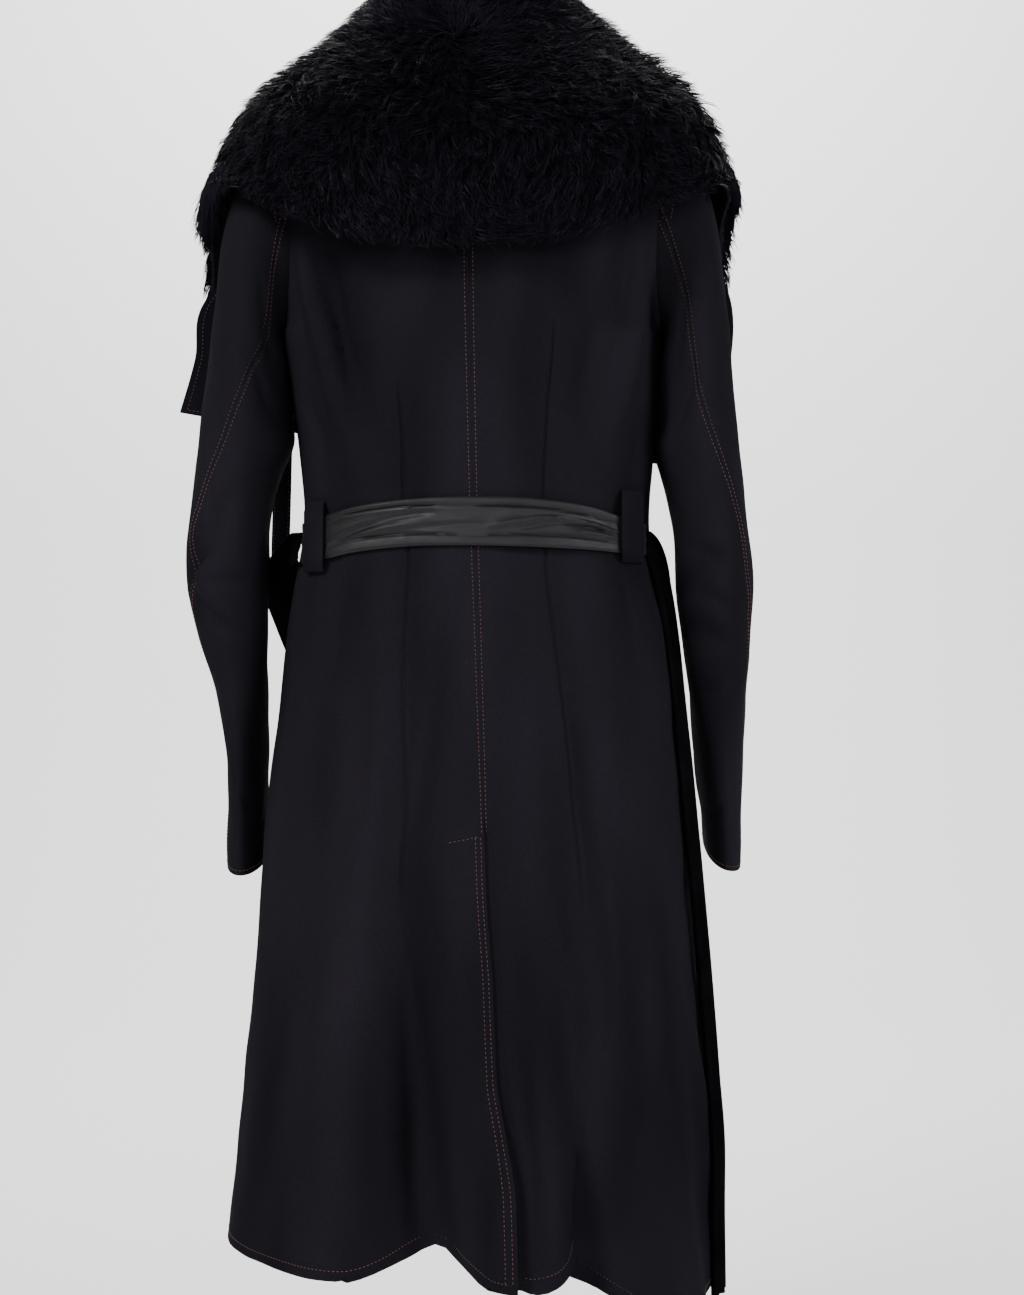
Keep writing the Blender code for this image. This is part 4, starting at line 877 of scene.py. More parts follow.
def make_mesh(name, points, faces, material, sharp=None):
    """A piece from an array of points and an array of faces of one size."""
    size = faces.shape[1]
    mesh = bpy.data.meshes.new(name)
    mesh.vertices.add(len(points))
    mesh.vertices.foreach_set("co", np.ascontiguousarray(points, dtype=np.float32).ravel())
    mesh.loops.add(faces.size)
    mesh.loops.foreach_set("vertex_index", np.ascontiguousarray(faces, dtype=np.int32).ravel())
    mesh.polygons.add(len(faces))
    mesh.polygons.foreach_set("loop_start", np.arange(0, faces.size, size, dtype=np.int32))
    mesh.polygons.foreach_set("loop_total", np.full(len(faces), size, dtype=np.int32))
    mesh.update(calc_edges=True)
    mesh.validate()
    mesh.shade_smooth()
    if sharp is not None:
        mesh.set_sharp_from_angle(angle=sharp)
    mesh.materials.append(material)
    piece = bpy.data.objects.new(name, mesh)
    bpy.context.scene.collection.objects.link(piece)
    return piece


def finish_piece(piece, slot, *nodes):
    """Ties a piece to the coat's one body and hides the nodes that it stands for; slot is not used."""
    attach(piece, "root")
    if nodes:
        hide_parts(*nodes)
    return piece


def new_material(name, colour, roughness):
    """A material with its node tree and its shader."""
    material = bpy.data.materials.new(name)
    material.use_nodes = True
    shader = material.node_tree.nodes["Principled BSDF"]
    shader.inputs["Base Color"].default_value = (*colour, 1)
    shader.inputs["Roughness"].default_value = roughness
    return material, material.node_tree, shader


def add_noise(tree, scale, detail, stretch=(1, 1, 1)):
    """A noise texture in the part's own coordinates."""
    place = tree.nodes.new("ShaderNodeTexCoord")
    mapping = tree.nodes.new("ShaderNodeMapping")
    mapping.inputs["Scale"].default_value = stretch
    noise = tree.nodes.new("ShaderNodeTexNoise")
    noise.inputs["Scale"].default_value = scale
    noise.inputs["Detail"].default_value = detail
    tree.links.new(place.outputs["Object"], mapping.inputs["Vector"])
    tree.links.new(mapping.outputs["Vector"], noise.inputs["Vector"])
    return noise


def add_ramp(tree, source, low, high, start=0.3, end=0.7):
    """A ramp between two colours over part of a texture's range."""
    ramp = tree.nodes.new("ShaderNodeValToRGB")
    ramp.color_ramp.elements[0].position = start
    ramp.color_ramp.elements[0].color = (*low, 1)
    ramp.color_ramp.elements[1].position = end
    ramp.color_ramp.elements[1].color = (*high, 1)
    tree.links.new(source, ramp.inputs["Fac"])
    return ramp


def shade(tree, shader, socket, noise, low, high):
    """Lets a socket of the shader follow a noise, between two colours or two grey levels."""
    ramp = add_ramp(tree, noise.outputs["Fac"], low, high)
    tree.links.new(ramp.outputs["Color"], shader.inputs[socket])


def add_bump(tree, shader, layers):
    """Stacked bumps, each from a texture's output, a strength and a height in metres."""
    last = None
    for source, strength, height in layers:
        bump = tree.nodes.new("ShaderNodeBump")
        bump.inputs["Strength"].default_value = strength
        bump.inputs["Distance"].default_value = height
        tree.links.new(source, bump.inputs["Height"])
        if last is not None:
            tree.links.new(last.outputs["Normal"], bump.inputs["Normal"])
        last = bump
    tree.links.new(last.outputs["Normal"], shader.inputs["Normal"])


def wool_material():
    """Matt black wool: soft bands of shade, a fine nap and its bumps."""
    material, tree, shader = new_material("black_wool", (0.0108, 0.0097, 0.0130), 0.95)
    shader.inputs["Specular IOR Level"].default_value = 0.01
    nap = add_noise(tree, 1500, 3, (1, 1, 0.55))
    patch = add_noise(tree, 22, 3)
    bands = add_noise(tree, 15, 1.5, (1, 1, 0.20))
    fibre = add_noise(tree, 5200, 2, (1, 1, 0.3))
    ramp = add_ramp(tree, bands.outputs["Fac"], (0.0070, 0.0064, 0.0088), (0.0120, 0.0109, 0.0144))
    fine = add_ramp(tree, nap.outputs["Fac"], (0.75, 0.75, 0.75), (1.3, 1.3, 1.3))
    mix = tree.nodes.new("ShaderNodeMix")
    mix.data_type = "RGBA"
    mix.blend_type = "MULTIPLY"
    mix.inputs["Factor"].default_value = 1
    tree.links.new(ramp.outputs["Color"], mix.inputs["A"])
    tree.links.new(fine.outputs["Color"], mix.inputs["B"])
    tree.links.new(mix.outputs["Result"], shader.inputs["Base Color"])
    add_bump(tree, shader, (
        (patch.outputs["Fac"], 0.25, 0.002), (nap.outputs["Fac"], 0.5, 0.0005),
        (fibre.outputs["Fac"], 0.4, 0.0002)))
    return material


def leather_material(name, dark, light, specular, rough):
    """Thin leather with a fine grain and a softer crinkle."""
    material, tree, shader = new_material(name, dark, rough)
    shader.inputs["Specular IOR Level"].default_value = specular
    grain = tree.nodes.new("ShaderNodeTexVoronoi")
    grain.inputs["Scale"].default_value = 1300
    place = tree.nodes.new("ShaderNodeTexCoord")
    tree.links.new(place.outputs["Object"], grain.inputs["Vector"])
    crinkle = add_noise(tree, 160, 4, (0.35, 1, 1))
    patch = add_noise(tree, 30, 3)
    shade(tree, shader, "Base Color", patch, dark, light)
    shade(tree, shader, "Roughness", crinkle, (rough - 0.06,) * 3, (rough + 0.10,) * 3)
    add_bump(tree, shader, (
        (crinkle.outputs["Fac"], 0.35, 0.0012), (grain.outputs["Distance"], 0.25, 0.0003)))
    return material


def fur_material():
    """Nearly black fur with a faint cool sheen."""
    material, tree, shader = new_material("black_fur", (0.0020, 0.0017, 0.0030), 0.5)
    shader.inputs["Specular IOR Level"].default_value = 0.065
    shader.inputs["Specular Tint"].default_value = (0.80, 0.74, 1.0, 1)
    shader.inputs["Sheen Weight"].default_value = 0.015
    shader.inputs["Sheen Roughness"].default_value = 0.4
    patch = add_noise(tree, 45, 2)
    strand = add_noise(tree, 420, 2)
    shade(tree, shader, "Base Color", patch, (0.0018, 0.0015, 0.0027), (0.0042, 0.0036, 0.0060))
    shade(tree, shader, "Roughness", strand, (0.36, 0.36, 0.36), (0.6, 0.6, 0.6))
    return material


def thread_material():
    """Rust-coloured thread with a fine twist."""
    material, tree, shader = new_material("rust_thread", (0.12, 0.045, 0.040), 0.7)
    twist = add_noise(tree, 2500, 2)
    shade(tree, shader, "Base Color", twist, (0.075, 0.028, 0.026), (0.17, 0.066, 0.058))
    return material


WOOL = wool_material()
LEATHER_LOOK = leather_material(
    "grey_leather", (0.0050, 0.0048, 0.0056), (0.0086, 0.0084, 0.0106), 0.26, 0.50)
# The belt's free ends take a darker, matt copy of the belt's own leather: painted shade for ends that hang
# turned away from the light.
SHADED_END_LEATHER = leather_material(
    "belt_leather_painted_shade", (0.0022, 0.0021, 0.0026), (0.0038, 0.0037, 0.0044), 0.0, 0.75)
FUR = fur_material()
THREAD = thread_material()
SKIN = new_material("skin_edge", (0.022, 0.021, 0.024), 0.85)[0]


# Distances of a back panel's columns from the centre seam and from its dart
BESIDE_CENTRE = (SEAM_GAP / 2, 0.0009, 0.0018, 0.0034, 0.0060, 0.0100, 0.0160, VENT_LAP)
BESIDE_DART = (-0.0060, -0.0035, -0.0020, -0.0011, -0.0005, 0, 0.0005, 0.0011, 0.0020, 0.0035, 0.0060)


def fine_back(panel, side):
    """One back panel: columns follow the centre seam, the vent's lap and the dart."""
    rows = fine_rows()
    table = spline(SECTIONS, rows)
    drops = -table[:, 1]
    edge = np.abs(table[:, 5] if side > 0 else table[:, 4])
    seam = keyed_spline(CENTRE_BACK, drops)[:, 1]
    reach = edge - side * seam
    turns = [np.arcsin(distance / reach) for distance in fill(BESIDE_CENTRE, 0.008)]
    dart = keyed_spline(DART_RIGHT if side > 0 else DART_LEFT, drops)[:, 1]
    dart_turn = np.arcsin(np.clip(side * (dart - seam) / reach, 0.1, 0.93))
    around = [dart_turn + shift / (reach * np.cos(dart_turn)) for shift in BESIDE_DART]
    last = turns[-1]
    turns.extend(last + (around[0] - last) * k / 5 for k in range(1, 5))
    turns.extend(around)
    last = around[-1]
    end = math.pi / 2 - side_gap(rows, table[:, 0])
    turns.extend(last + (end - last) * share for share in fill([0.04, 0.9, 0.975, 1], 0.032))
    turns = [side * turn for turn in turns]
    laps = fill([VENT_LAP / 8, VENT_LAP], VENT_LAP / 7) if side > 0 else []
    for distance in laps:
        turned_in = np.where(rows > VENT_ROW + 0.01, distance, distance * SEAM_ALLOWANCE / VENT_LAP)
        turns.insert(0, -np.arcsin(turned_in / (np.abs(table[:, 4]) + seam)))
    outer, normal = fine_coat(panel, *make_grid(rows, turns))
    sunk = (CLOTH + ALLOWANCE_GAP) * (1 - vent_sink(drops))
    outer[:, :len(laps)] -= normal[:, :len(laps)] * sunk[:, None, None]
    return make_shell(panel + "_cloth", outer, outer - normal * CLOTH, WOOL)


def fine_front(panel, side):
    """One front panel, from the side seam to its free edge."""
    rows = fine_rows()
    start = math.pi / 2 + side_gap(rows, spline(SECTIONS, rows)[:, 2])
    end = front_turn(rows, side)
    shares = fill([0, 0.02, 0.05, 0.95, 0.985, 1], 0.028)
    turns = [side * (start + (end - start) * share) for share in shares]
    outer, normal = fine_coat(panel, *make_grid(rows, turns))
    return make_shell(panel + "_cloth", outer, outer - normal * CLOTH, WOOL)


def fine_sleeve_point(rings, side, ring, turn):
    """Points and outward normals of a sleeve with its relief."""
    place = sleeve_surface(rings, side)
    points = place(ring, turn)
    normal = -side * outward(place, ring, turn)
    width = spline(rings, ring)[..., 5]
    degrees = np.degrees((turn + math.pi) % (2 * math.pi) - math.pi)
    across = degrees * math.pi / 180 * width
    depth = sum(height * soft_noise(points, seed, size) for height, seed, size in SLEEVE_NOISE)
    for crease in SLEEVE_LINES:
        if crease.side == side:
            start = (crease.ring_start * RING_HEIGHT, math.radians(crease.turn_start) * SLEEVE_RADIUS)
            end = (crease.ring_end * RING_HEIGHT, math.radians(crease.turn_end) * SLEEVE_RADIUS)
            depth += line_depth(ring * RING_HEIGHT, across, start, end, crease.width,
                                crease.depth * SLEEVE_CREASING)
    seam = np.radians(spline(rings, ring)[..., 7])
    away = np.abs(np.angle(np.exp(1j * (turn - seam)))) * width
    depth -= SEAM_DEPTH * bell(away, SEAM_WIDTH)
    depth -= ROW_GROOVE * bell(away - SLEEVE_ROW, ROW_GROOVE_WIDTH)
    points = points + normal * (depth * smooth_step(ring, 0.0, 1.2))[..., None]
    points[..., 0] -= side * ARMHOLE_CLOSING * (1 - smooth_step(ring, 0.0, 0.8))
    pressed = plateau(ring, 0.7, 2.4, 4.6, 6.4) * smooth_step(-np.cos(turn), 0.55, 0.95)
    points[..., 0] -= side * SIDE_PRESS * pressed
    return points, normal


def fine_sleeve(side, rings, side_name):
    """The upper and the under piece of a sleeve."""
    rows = fill([0, 1, CUFF - 0.2, CUFF], 0.12)
    table = spline(rings, rows)
    seam = np.radians(table[:, 7])
    other = math.radians(FRONT_SEAM_TURN)
    gap = SEAM_GAP / 2 / table[:, 5] * SLEEVE_GAP
    shares = fill([0, 0.008, 0.02, 0.045, 0.955, 0.98, 0.992, 1], 0.04)
    pieces = []
    for name, start, end in (
            ("sleeve_upper", other + gap, seam - gap),
            ("sleeve_under", seam + gap, other + 2 * math.pi - gap)):
        grid = make_grid(rows, [start + (end - start) * share for share in shares])
        outer, normal = fine_sleeve_point(rings, side, *grid)
        normal[0, :, 0] = 0
        inner = outer - unit(normal) * CLOTH
        pieces.append(make_shell(f"{name}_{side_name}_cloth", outer, inner, WOOL))
    return pieces


def stitch_mesh(name, rows):
    """Rows of stitches as one piece: each row is a line of points and their normals."""
    points = []
    faces = []
    total = 0
    for line, normal in rows:
        length = np.concatenate([[0], np.cumsum(np.linalg.norm(np.diff(line, axis=0), axis=1))])
        starts = np.arange(0, length[-1] - STITCH_LENGTH, STITCH_PITCH)

        def at(distance, values):
            return np.stack([np.interp(distance, length, values[:, k]) for k in range(3)], axis=1)

        first = at(starts, line)
        last = at(starts + STITCH_LENGTH, line)
        middle = at(starts + STITCH_LENGTH / 2, line)
        up = unit(at(starts + STITCH_LENGTH / 2, normal))
        side = unit(np.cross(last - first, up)) * STITCH_HALF_WIDTH
        sink = up * STITCH_SINK
        low = middle - sink
        group = np.stack([
            first - sink, low + side, last - sink, low - side,
            middle + (first - middle) * 0.35 + up * STITCH_RISE,
            middle + (last - middle) * 0.35 + up * STITCH_RISE], axis=1)
        count = len(starts)
        base = (total + 6 * np.arange(count))[:, None]
        pattern = np.array([
            [0, 1, 4], [1, 5, 4], [1, 2, 5], [2, 3, 5], [3, 4, 5], [3, 0, 4], [0, 3, 2], [0, 2, 1]])
        points.append(group.reshape(-1, 3))
        faces.append((base[:, None] + pattern[None]).reshape(-1, 3))
        total += 6 * count
    return make_mesh(name, np.concatenate(points), np.concatenate(faces), THREAD)


def back_line(panel, x, drop):
    """A line of points and normals on the back by x and drop."""
    return fine_coat(panel, *find_on_back(x, drop))


def coat_line(panel, row, turn):
    """A line of points and normals on a panel by row and turn."""
    return fine_coat(panel, *np.broadcast_arrays(row, turn))


def sleeve_line(rings, side, ring, turn):
    return fine_sleeve_point(rings, side, *np.broadcast_arrays(ring, turn))


def back_stitches():
    """The rows of stitches on the panels, and the short bar at the top of the vent."""
    drops = np.linspace(0.10, VENT_TOP - 0.001, 240)
    spread = keyed_spline(CENTRE_ROWS, drops)[:, 1]
    seam = keyed_spline(CENTRE_BACK, drops)[:, 1]
    rows = [back_line("back_left", seam - spread, drops), back_line("back_right", seam + spread, drops)]
    drops = np.linspace(VENT_TOP, 1.030, 160)
    seam = keyed_spline(CENTRE_BACK, drops)[:, 1]
    rows.extend(back_line("back_left", seam - shift, drops) for shift in VENT_EDGE_ROWS)
    bar = np.linspace(0, 1, 30)
    rows.append(back_line("back_left", -0.0189 + 0.0278 * bar, 0.6816 - 0.0055 * bar))
    for panel, start, end in (("back_left", -1.555, -0.03), ("back_right", 0.03, 1.555),
                              ("front_left", -2.86, -1.59), ("front_right", 1.59, 2.88)):
        rows.append(coat_line(panel, HEM - HEM_ROW / HEM_ROW_HEIGHT, np.linspace(start, end, 200)))
    down = np.linspace(0.3, HEM - 0.15, 300)
    for side, panel in ((-1, "front_left"), (1, "front_right")):
        rows.append(coat_line(panel, down, side * front_turn(down, side, EDGE_ROW)))
    return rows


def sleeve_stitches():
    """The rows of stitches beside each sleeve's seam, over its top and round its cuff."""
    rows = []
    for side, rings in ((-1, SLEEVE_LEFT), (1, SLEEVE_RIGHT)):
        down = np.linspace(0.05, CUFF - 0.25, 400)
        table = spline(rings, down)
        seam = np.radians(table[:, 7])
        for shift in (-SLEEVE_ROW, SLEEVE_ROW):
            rows.append(sleeve_line(rings, side, down, seam + shift / table[:, 5]))
        over = np.radians(np.linspace(30, 84, 60))
        for ring in CAP_ROWS:
            rows.append(sleeve_line(rings, side, ring, over))
        rows.append(sleeve_line(rings, side, np.linspace(*CAP_ROWS, 20), over[-1]))
        around = np.linspace(-math.pi, math.pi, 160)
        rows.append(sleeve_line(rings, side, CUFF - CUFF_ROW / CUFF_RING_HEIGHT, around))
    return rows


def fine_lapel(side, side_name):
    """A lapel's shell and the rows of stitches along its free edges."""
    rows = np.arange(LAPEL[0].row, LAPEL[-1].row + 0.01, 0.1)
    place_on_panel = coat_surface("front_" + side_name)
    turn = side * front_turn(rows, side, LAPEL_GAP)
    root = place_on_panel(rows, turn)
    normal = outward(place_on_panel, rows, turn)
    free = spline([point[1:4] if side < 0 else point[4:7] for point in LAPEL],
                  (rows - rows[0]) / (rows[-1] - rows[0]) * (len(LAPEL) - 1))

    def face(columns):
        columns = np.asarray(columns, dtype=float)[None, :, None]
        lift = LAPEL_SEAT + LAPEL_LIFT * smooth_step(columns, 0.0, 0.15)
        bulge = FORWARD * LAPEL_BULGE * np.sin(math.pi * columns)
        base = root[:, None] * (1 - columns) + free[:, None] * columns
        base = base + normal[:, None] * lift * (1 - columns) + bulge
        wave = LAPEL_WAVE * soft_noise(base, 21, 0.04) * smooth_step(columns[..., 0], 0.2, 0.5)
        return base + FORWARD * wave[..., None]

    back = face(fill([0, 0.03, 0.1, 0.95, 0.985, 1], 0.04))
    piece = make_shell(f"lapel_{side_name}_cloth", back + FORWARD * LAPEL_CLOTH, back, WOOL)
    width = np.linalg.norm(free - root, axis=1)
    nearest = np.round(200 * (1 - EDGE_ROW / width)).astype(int)[:, None, None]
    edge = np.take_along_axis(face(np.linspace(0, 1, 201)), nearest, axis=1)[4:-2, 0]
    low = face(np.linspace(0.2, 1 - EDGE_ROW / width[-1], 80))[-3]
    lines = [(line, BEHIND + 0 * line) for line in (edge, low)]
    return piece, lines + [(line + FORWARD * LAPEL_CLOTH, -facing) for line, facing in lines]


def fine_tab():
    """The strap end's shell and its two rows of stitches."""
    top = np.array(TAB_TOP)
    end = np.array(TAB_END)
    part = np.linspace(0, 1, 40)
    share = np.array([0, 0.04, 0.12, 0.3, 0.5, 0.7, 0.88, 0.96, 1])
    middle = top + (end - top) * part[:, None]
    shift = (share - 0.5) * TAB_WIDTH
    slant = -TAB_POINT * (0.5 - share)[None, :] * smooth_step(part, 0.85, 1.0)[:, None]
    bow = TAB_BOW * np.sin(3 * part)[:, None] + 0 * slant
    back = middle[:, None] + np.stack([np.broadcast_to(shift, slant.shape), bow, slant], axis=-1)
    piece = make_shell("tab_left_cloth", back + FORWARD * LAPEL_CLOTH, back, WOOL)
    return piece, [(back[1:-2, column], BEHIND + 0 * back[1:-2, column]) for column in (6, 2)]


# The belt's folds across the back, by x and by place across its width from -1 above to 1 below
BELT_CREASING = 1.9
# The share of the pleats' depth that the folds leave, and the least height of the leather's face
PLEAT_SHARE = 0.22
BELT_LOWEST = -0.0016
BELT_ROLL = 0.0012
# Metres along the belt that count as one half of its width in the folds' table
FOLD_UNIT = 0.06
BELT_FOLDS = table_of(
    "x_start place_start x_end place_end width depth",
    (-0.128, -0.70, -0.008, -0.60, 0.050, -0.0014),
    (-0.012, -0.60, 0.126, -0.46, 0.050, -0.0014),
    (-0.128, 0.50, 0.004, 0.62, 0.050, -0.0012),
    (-0.002, 0.62, 0.126, 0.52, 0.050, -0.0012),
    (-0.124, 0.42, -0.074, -0.20, 0.120, -0.0013),
    (-0.080, -0.16, -0.030, -0.42, 0.110, -0.0012),
    (-0.108, 0.42, -0.046, 0.02, 0.130, 0.0011),
    (-0.052, 0.30, 0.018, 0.10, 0.120, -0.0009),
    (0.012, 0.32, 0.052, -0.18, 0.110, 0.0014),
    (0.046, -0.14, 0.084, -0.32, 0.090, 0.0012),
    (0.080, -0.30, 0.126, 0.00, 0.080, 0.0010),
    (0.038, 0.32, 0.072, -0.06, 0.090, -0.0013),
    (0.066, -0.06, 0.126, 0.12, 0.070, -0.0013),
    (0.070, 0.30, 0.126, 0.28, 0.090, 0.0010),
)


def fine_belt():
    """The belt across the back, with its folds and rolled edges."""
    x = np.linspace(BELT[0].x, BELT[-1].x, 190)
    table = keyed_spline(BELT, x)
    across = np.concatenate([[-1, -0.985, -0.955], np.linspace(-0.92, 0.92, 32), [0.955, 0.985, 1]])
    grid_x, grid_across = np.meshgrid(x, across, indexing="ij")
    drop = table[:, 1:2] + table[:, 2:3] * grid_across
    pleat = BELT_PLEAT * (1 + np.cos(math.pi * BELT_PLEATS * grid_across)) * PLEAT_SHARE
    for fold in BELT_FOLDS:
        start = (fold.x_start / FOLD_UNIT, fold.place_start)
        end = (fold.x_end / FOLD_UNIT, fold.place_end)
        pleat = pleat + line_depth(grid_x / FOLD_UNIT, grid_across, start, end, fold.width,
                                   fold.depth * BELT_CREASING)
    roll = BELT_ROLL * (1 - smooth_step(1 - np.abs(grid_across), 0.0, 0.07))
    lift = BELT_LIFT + LEATHER + np.maximum(pleat, BELT_LOWEST)
    outer = lifted_back(grid_x, drop, lift - roll)
    inner = lifted_back(grid_x, drop, BELT_LIFT + roll * 0.6)
    return make_shell("belt_back_leather", outer, inner, LEATHER_LOOK)


# How much wider the free ends are than their solids, on the side at -X and on the side at +X
EDGE_FIELDS = "z minus plus"
STRAP_EDGES_RIGHT = table_of(
    EDGE_FIELDS,
    (-1.09, 0.0030, 0.0), (-0.90, 0.0036, 0.0), (-0.80, 0.0024, 0.0022),
    (-0.70, 0.0006, 0.0036), (-0.52, 0.0, 0.0030), (-0.44, 0.0, 0.0),
)
STRAP_EDGES_LEFT = table_of(
    EDGE_FIELDS,
    (-0.53, 0.0, 0.0), (-0.49, 0.0, 0.0055), (-0.455, 0.0, 0.0100),
    (-0.440, 0.0, 0.0105), (-0.425, 0.0, 0.0100), (-0.410, 0.0, 0.0060),
    (-0.395, 0.0, 0.0),
)


def fine_strap(name, table, edges, seed):
    """A free belt end: a soft strap with lengthwise folds and rolled edges."""
    places = np.linspace(0, len(table) - 1, 12 * len(table))
    rows = spline(table, places)
    tangent = unit(spline(table, places + 0.05)[:, :3] - spline(table, places - 0.05)[:, :3])
    across = unit(rows[:, 3:6])
    across = unit(across - tangent * np.sum(across * tangent, axis=1, keepdims=True))
    normal = np.cross(tangent, across)
    share = np.concatenate([[-1, -0.97, -0.9], np.linspace(-0.8, 0.8, 17), [0.9, 0.97, 1]])
    part = share[None, :, None]
    pleat = STRAP_PLEAT * np.cos(math.pi * STRAP_PLEATS * part)
    along = places[:, None, None]
    shift = 0.5 * np.sin(along * 0.9 + seed)
    fine = STRAP_FINE * np.cos(math.pi * (3.5 + 0.4 * np.sin(along * 0.45 + seed)) * part + shift)
    fine = fine * smooth_step(along, 0.6, 3.0)
    middle = rows[:, None, :3] + across[:, None] * rows[:, None, 6:7] * part
    edge_z, minus, plus = np.array(edges).T
    rightward = part * np.sign(across[:, None, :1])
    wider = (np.interp(rows[:, 2], edge_z, plus)[:, None, None] * np.maximum(rightward, 0)
             - np.interp(rows[:, 2], edge_z, minus)[:, None, None] * np.maximum(-rightward, 0))
    middle = middle + wider * np.array([1.0, 0.0, 0.0])
    middle = middle + normal[:, None] * (pleat + fine)
    thick = LEATHER / 2 * (1 - 0.7 * smooth_step(np.abs(part), 0.85, 1.0))
    thick = normal[:, None] * thick
    # The darker leather of the free ends is painted shade, not leather of another colour.
    return make_shell(name + "_leather", middle + thick, middle - thick, SHADED_END_LEATHER)


def fine_loop(loop):
    """A belt loop that arches over the belt, with rounded edges."""
    along = np.linspace(0, 1, 41)
    across = np.array([-0.5, -0.47, -0.38, -0.2, 0, 0.2, 0.38, 0.47, 0.5])
    raised = np.minimum(np.sin(math.pi * along) * LOOP_SQUARENESS, 1.0)
    middle = loop.x - math.copysign(LOOP_DRAW, loop.x) * raised
    x = middle[:, None] + loop.width * across[None, :]
    drop = loop.drop_top + (loop.drop_end - loop.drop_top) * along[:, None] + 0 * x
    round_off = LOOP_ROUNDING * smooth_step(np.abs(across), 0.38, 0.5)[None, :]
    lift = (LOOP_SEAT + LOOP_CLEARANCE * raised)[:, None] + 0 * x
    outer = lifted_back(x, drop, lift + LOOP_CLOTH - round_off)
    inner = lifted_back(x, drop, lift + round_off * 0.3)
    return make_shell(loop.name + "_cloth", outer, inner, WOOL)


def collar_sheet(
        name, profile, depth_out, depth_in, material, ends=(-COLLAR_END, COLLAR_END), columns=121):
    """A shell that follows the collar at two depths under the tips of its fur."""
    stations = np.linspace(*ends, columns)
    outer = collar_grid(stations, profile, depth_out)
    return make_shell(name, outer, collar_grid(stations, profile, depth_in), material)


# The fur's locks: how far apart they are, the strands in each, and the sizes of a strand
LOCK_SPACING = 0.0062
LOCK_STRANDS = 10
LOCK_RADIUS = 0.0038
# How unevenly the locks stand, as a share of their spacing, and how close their rows are
LOCK_JITTER = 0.35
LOCK_ROWS = 0.86
# How far a lock's strands spread to the side and along it, in its radius, and how far they meet
SPREAD_SIDE = 0.55
SPREAD_ON = 0.75
GATHER = 0.82
# The depth of the roots, as a share of the pile's depth
ROOT_LEVEL = 0.94
# How much a strand bends: each lock, each strand and each loose strand, as shares of its length
LOCK_BEND = 0.20
STRAND_BEND = 0.07
LOOSE_BEND = 0.5
STRAND_POINTS = 6
STRAND_LENGTH = 0.030
STRAND_WIDTH = 0.0010
# The strand's width at each of its points, as a share of its full width
TAPER = (1 - np.linspace(0, 1, STRAND_POINTS) ** 1.6) * 0.9 + 0.1
# The stations over which the fur of the collar's front turns sparser and its strands wider
FRONT_FUR = namedtuple("FrontFur", "start end thinned wider")(2.7, 3.5, 0.60, 0.7)
# The fur inside the neck: its length, its wider spacing and the end of its piece
INNER_LENGTH = 0.016
INNER_SPACING = 1.5
INSIDE_END = 2.4
# How far the tips may stand past the solid's face, and further at the wearer's right shoulder
PROUD = 0.0025
PROUD_RIGHT = 0.0080
LOOSE_SHARE = 0.12
# The point that the fur parts around, and how far it grows before it turns down
WHORL = np.array([-0.015, -0.095, -0.002])
FUR_FALL = 0.15
WHORL_REACH = 0.030
WHORL_LOCKS = 190
WHORL_CROSSING = 0.016


def fur_field():
    """A fine grid of the collar: tip points, normals, pile depth and both tangents."""
    stations = np.linspace(-COLLAR_END, COLLAR_END, 321)
    profile = np.linspace(0, PROFILE_END, 141)
    grid_station, grid_profile = np.meshgrid(stations, profile, indexing="ij")
    tips = collar_surface(grid_station, grid_profile)
    later = np.gradient(tips, stations, axis=0)
    lower = np.gradient(tips, profile, axis=1)
    normal = unit(np.cross(lower, later))
    depth = pile_depth(grid_profile)
    field = np.concatenate([tips, normal, depth[..., None], later, lower], axis=-1)
    return stations, profile, field


def read_field(stations, profile, field, station, place):
    """Values between the points of the fine grid."""
    a = np.clip((station - stations[0]) / (stations[1] - stations[0]), 0, len(stations) - 1.001)
    b = np.clip((place - profile[0]) / (profile[1] - profile[0]), 0, len(profile) - 1.001)
    i = a.astype(int)
    j = b.astype(int)
    s = (a - i)[..., None]
    t = (b - j)[..., None]
    return (field[i, j] * (1 - s) * (1 - t) + field[i + 1, j] * s * (1 - t)
            + field[i, j + 1] * (1 - s) * t + field[i + 1, j + 1] * s * t)


def fur_direction(root):
    """The way the fur lies at each root: out from the whorl, then down, with soft swirls."""
    points = root[:, :3]
    away = points - WHORL
    distance = np.linalg.norm(away, axis=1, keepdims=True)
    down = np.array([0.0, 0.0, -1.0]) * smooth_step(distance, 0.03, FUR_FALL) * 1.1
    way = away / distance + down
    normal = root[:, 3:6]
    way = way - normal * np.sum(way * normal, axis=1, keepdims=True)
    side = np.cross(normal, unit(way))
    swirl = 0.42 * soft_noise(points, 31, 0.050) + 0.38 * soft_noise(points, 32, 0.022)
    swirl = swirl + 0.9 * bell(distance[:, 0], WHORL_REACH)
    return unit(unit(way) + side * swirl[:, None])


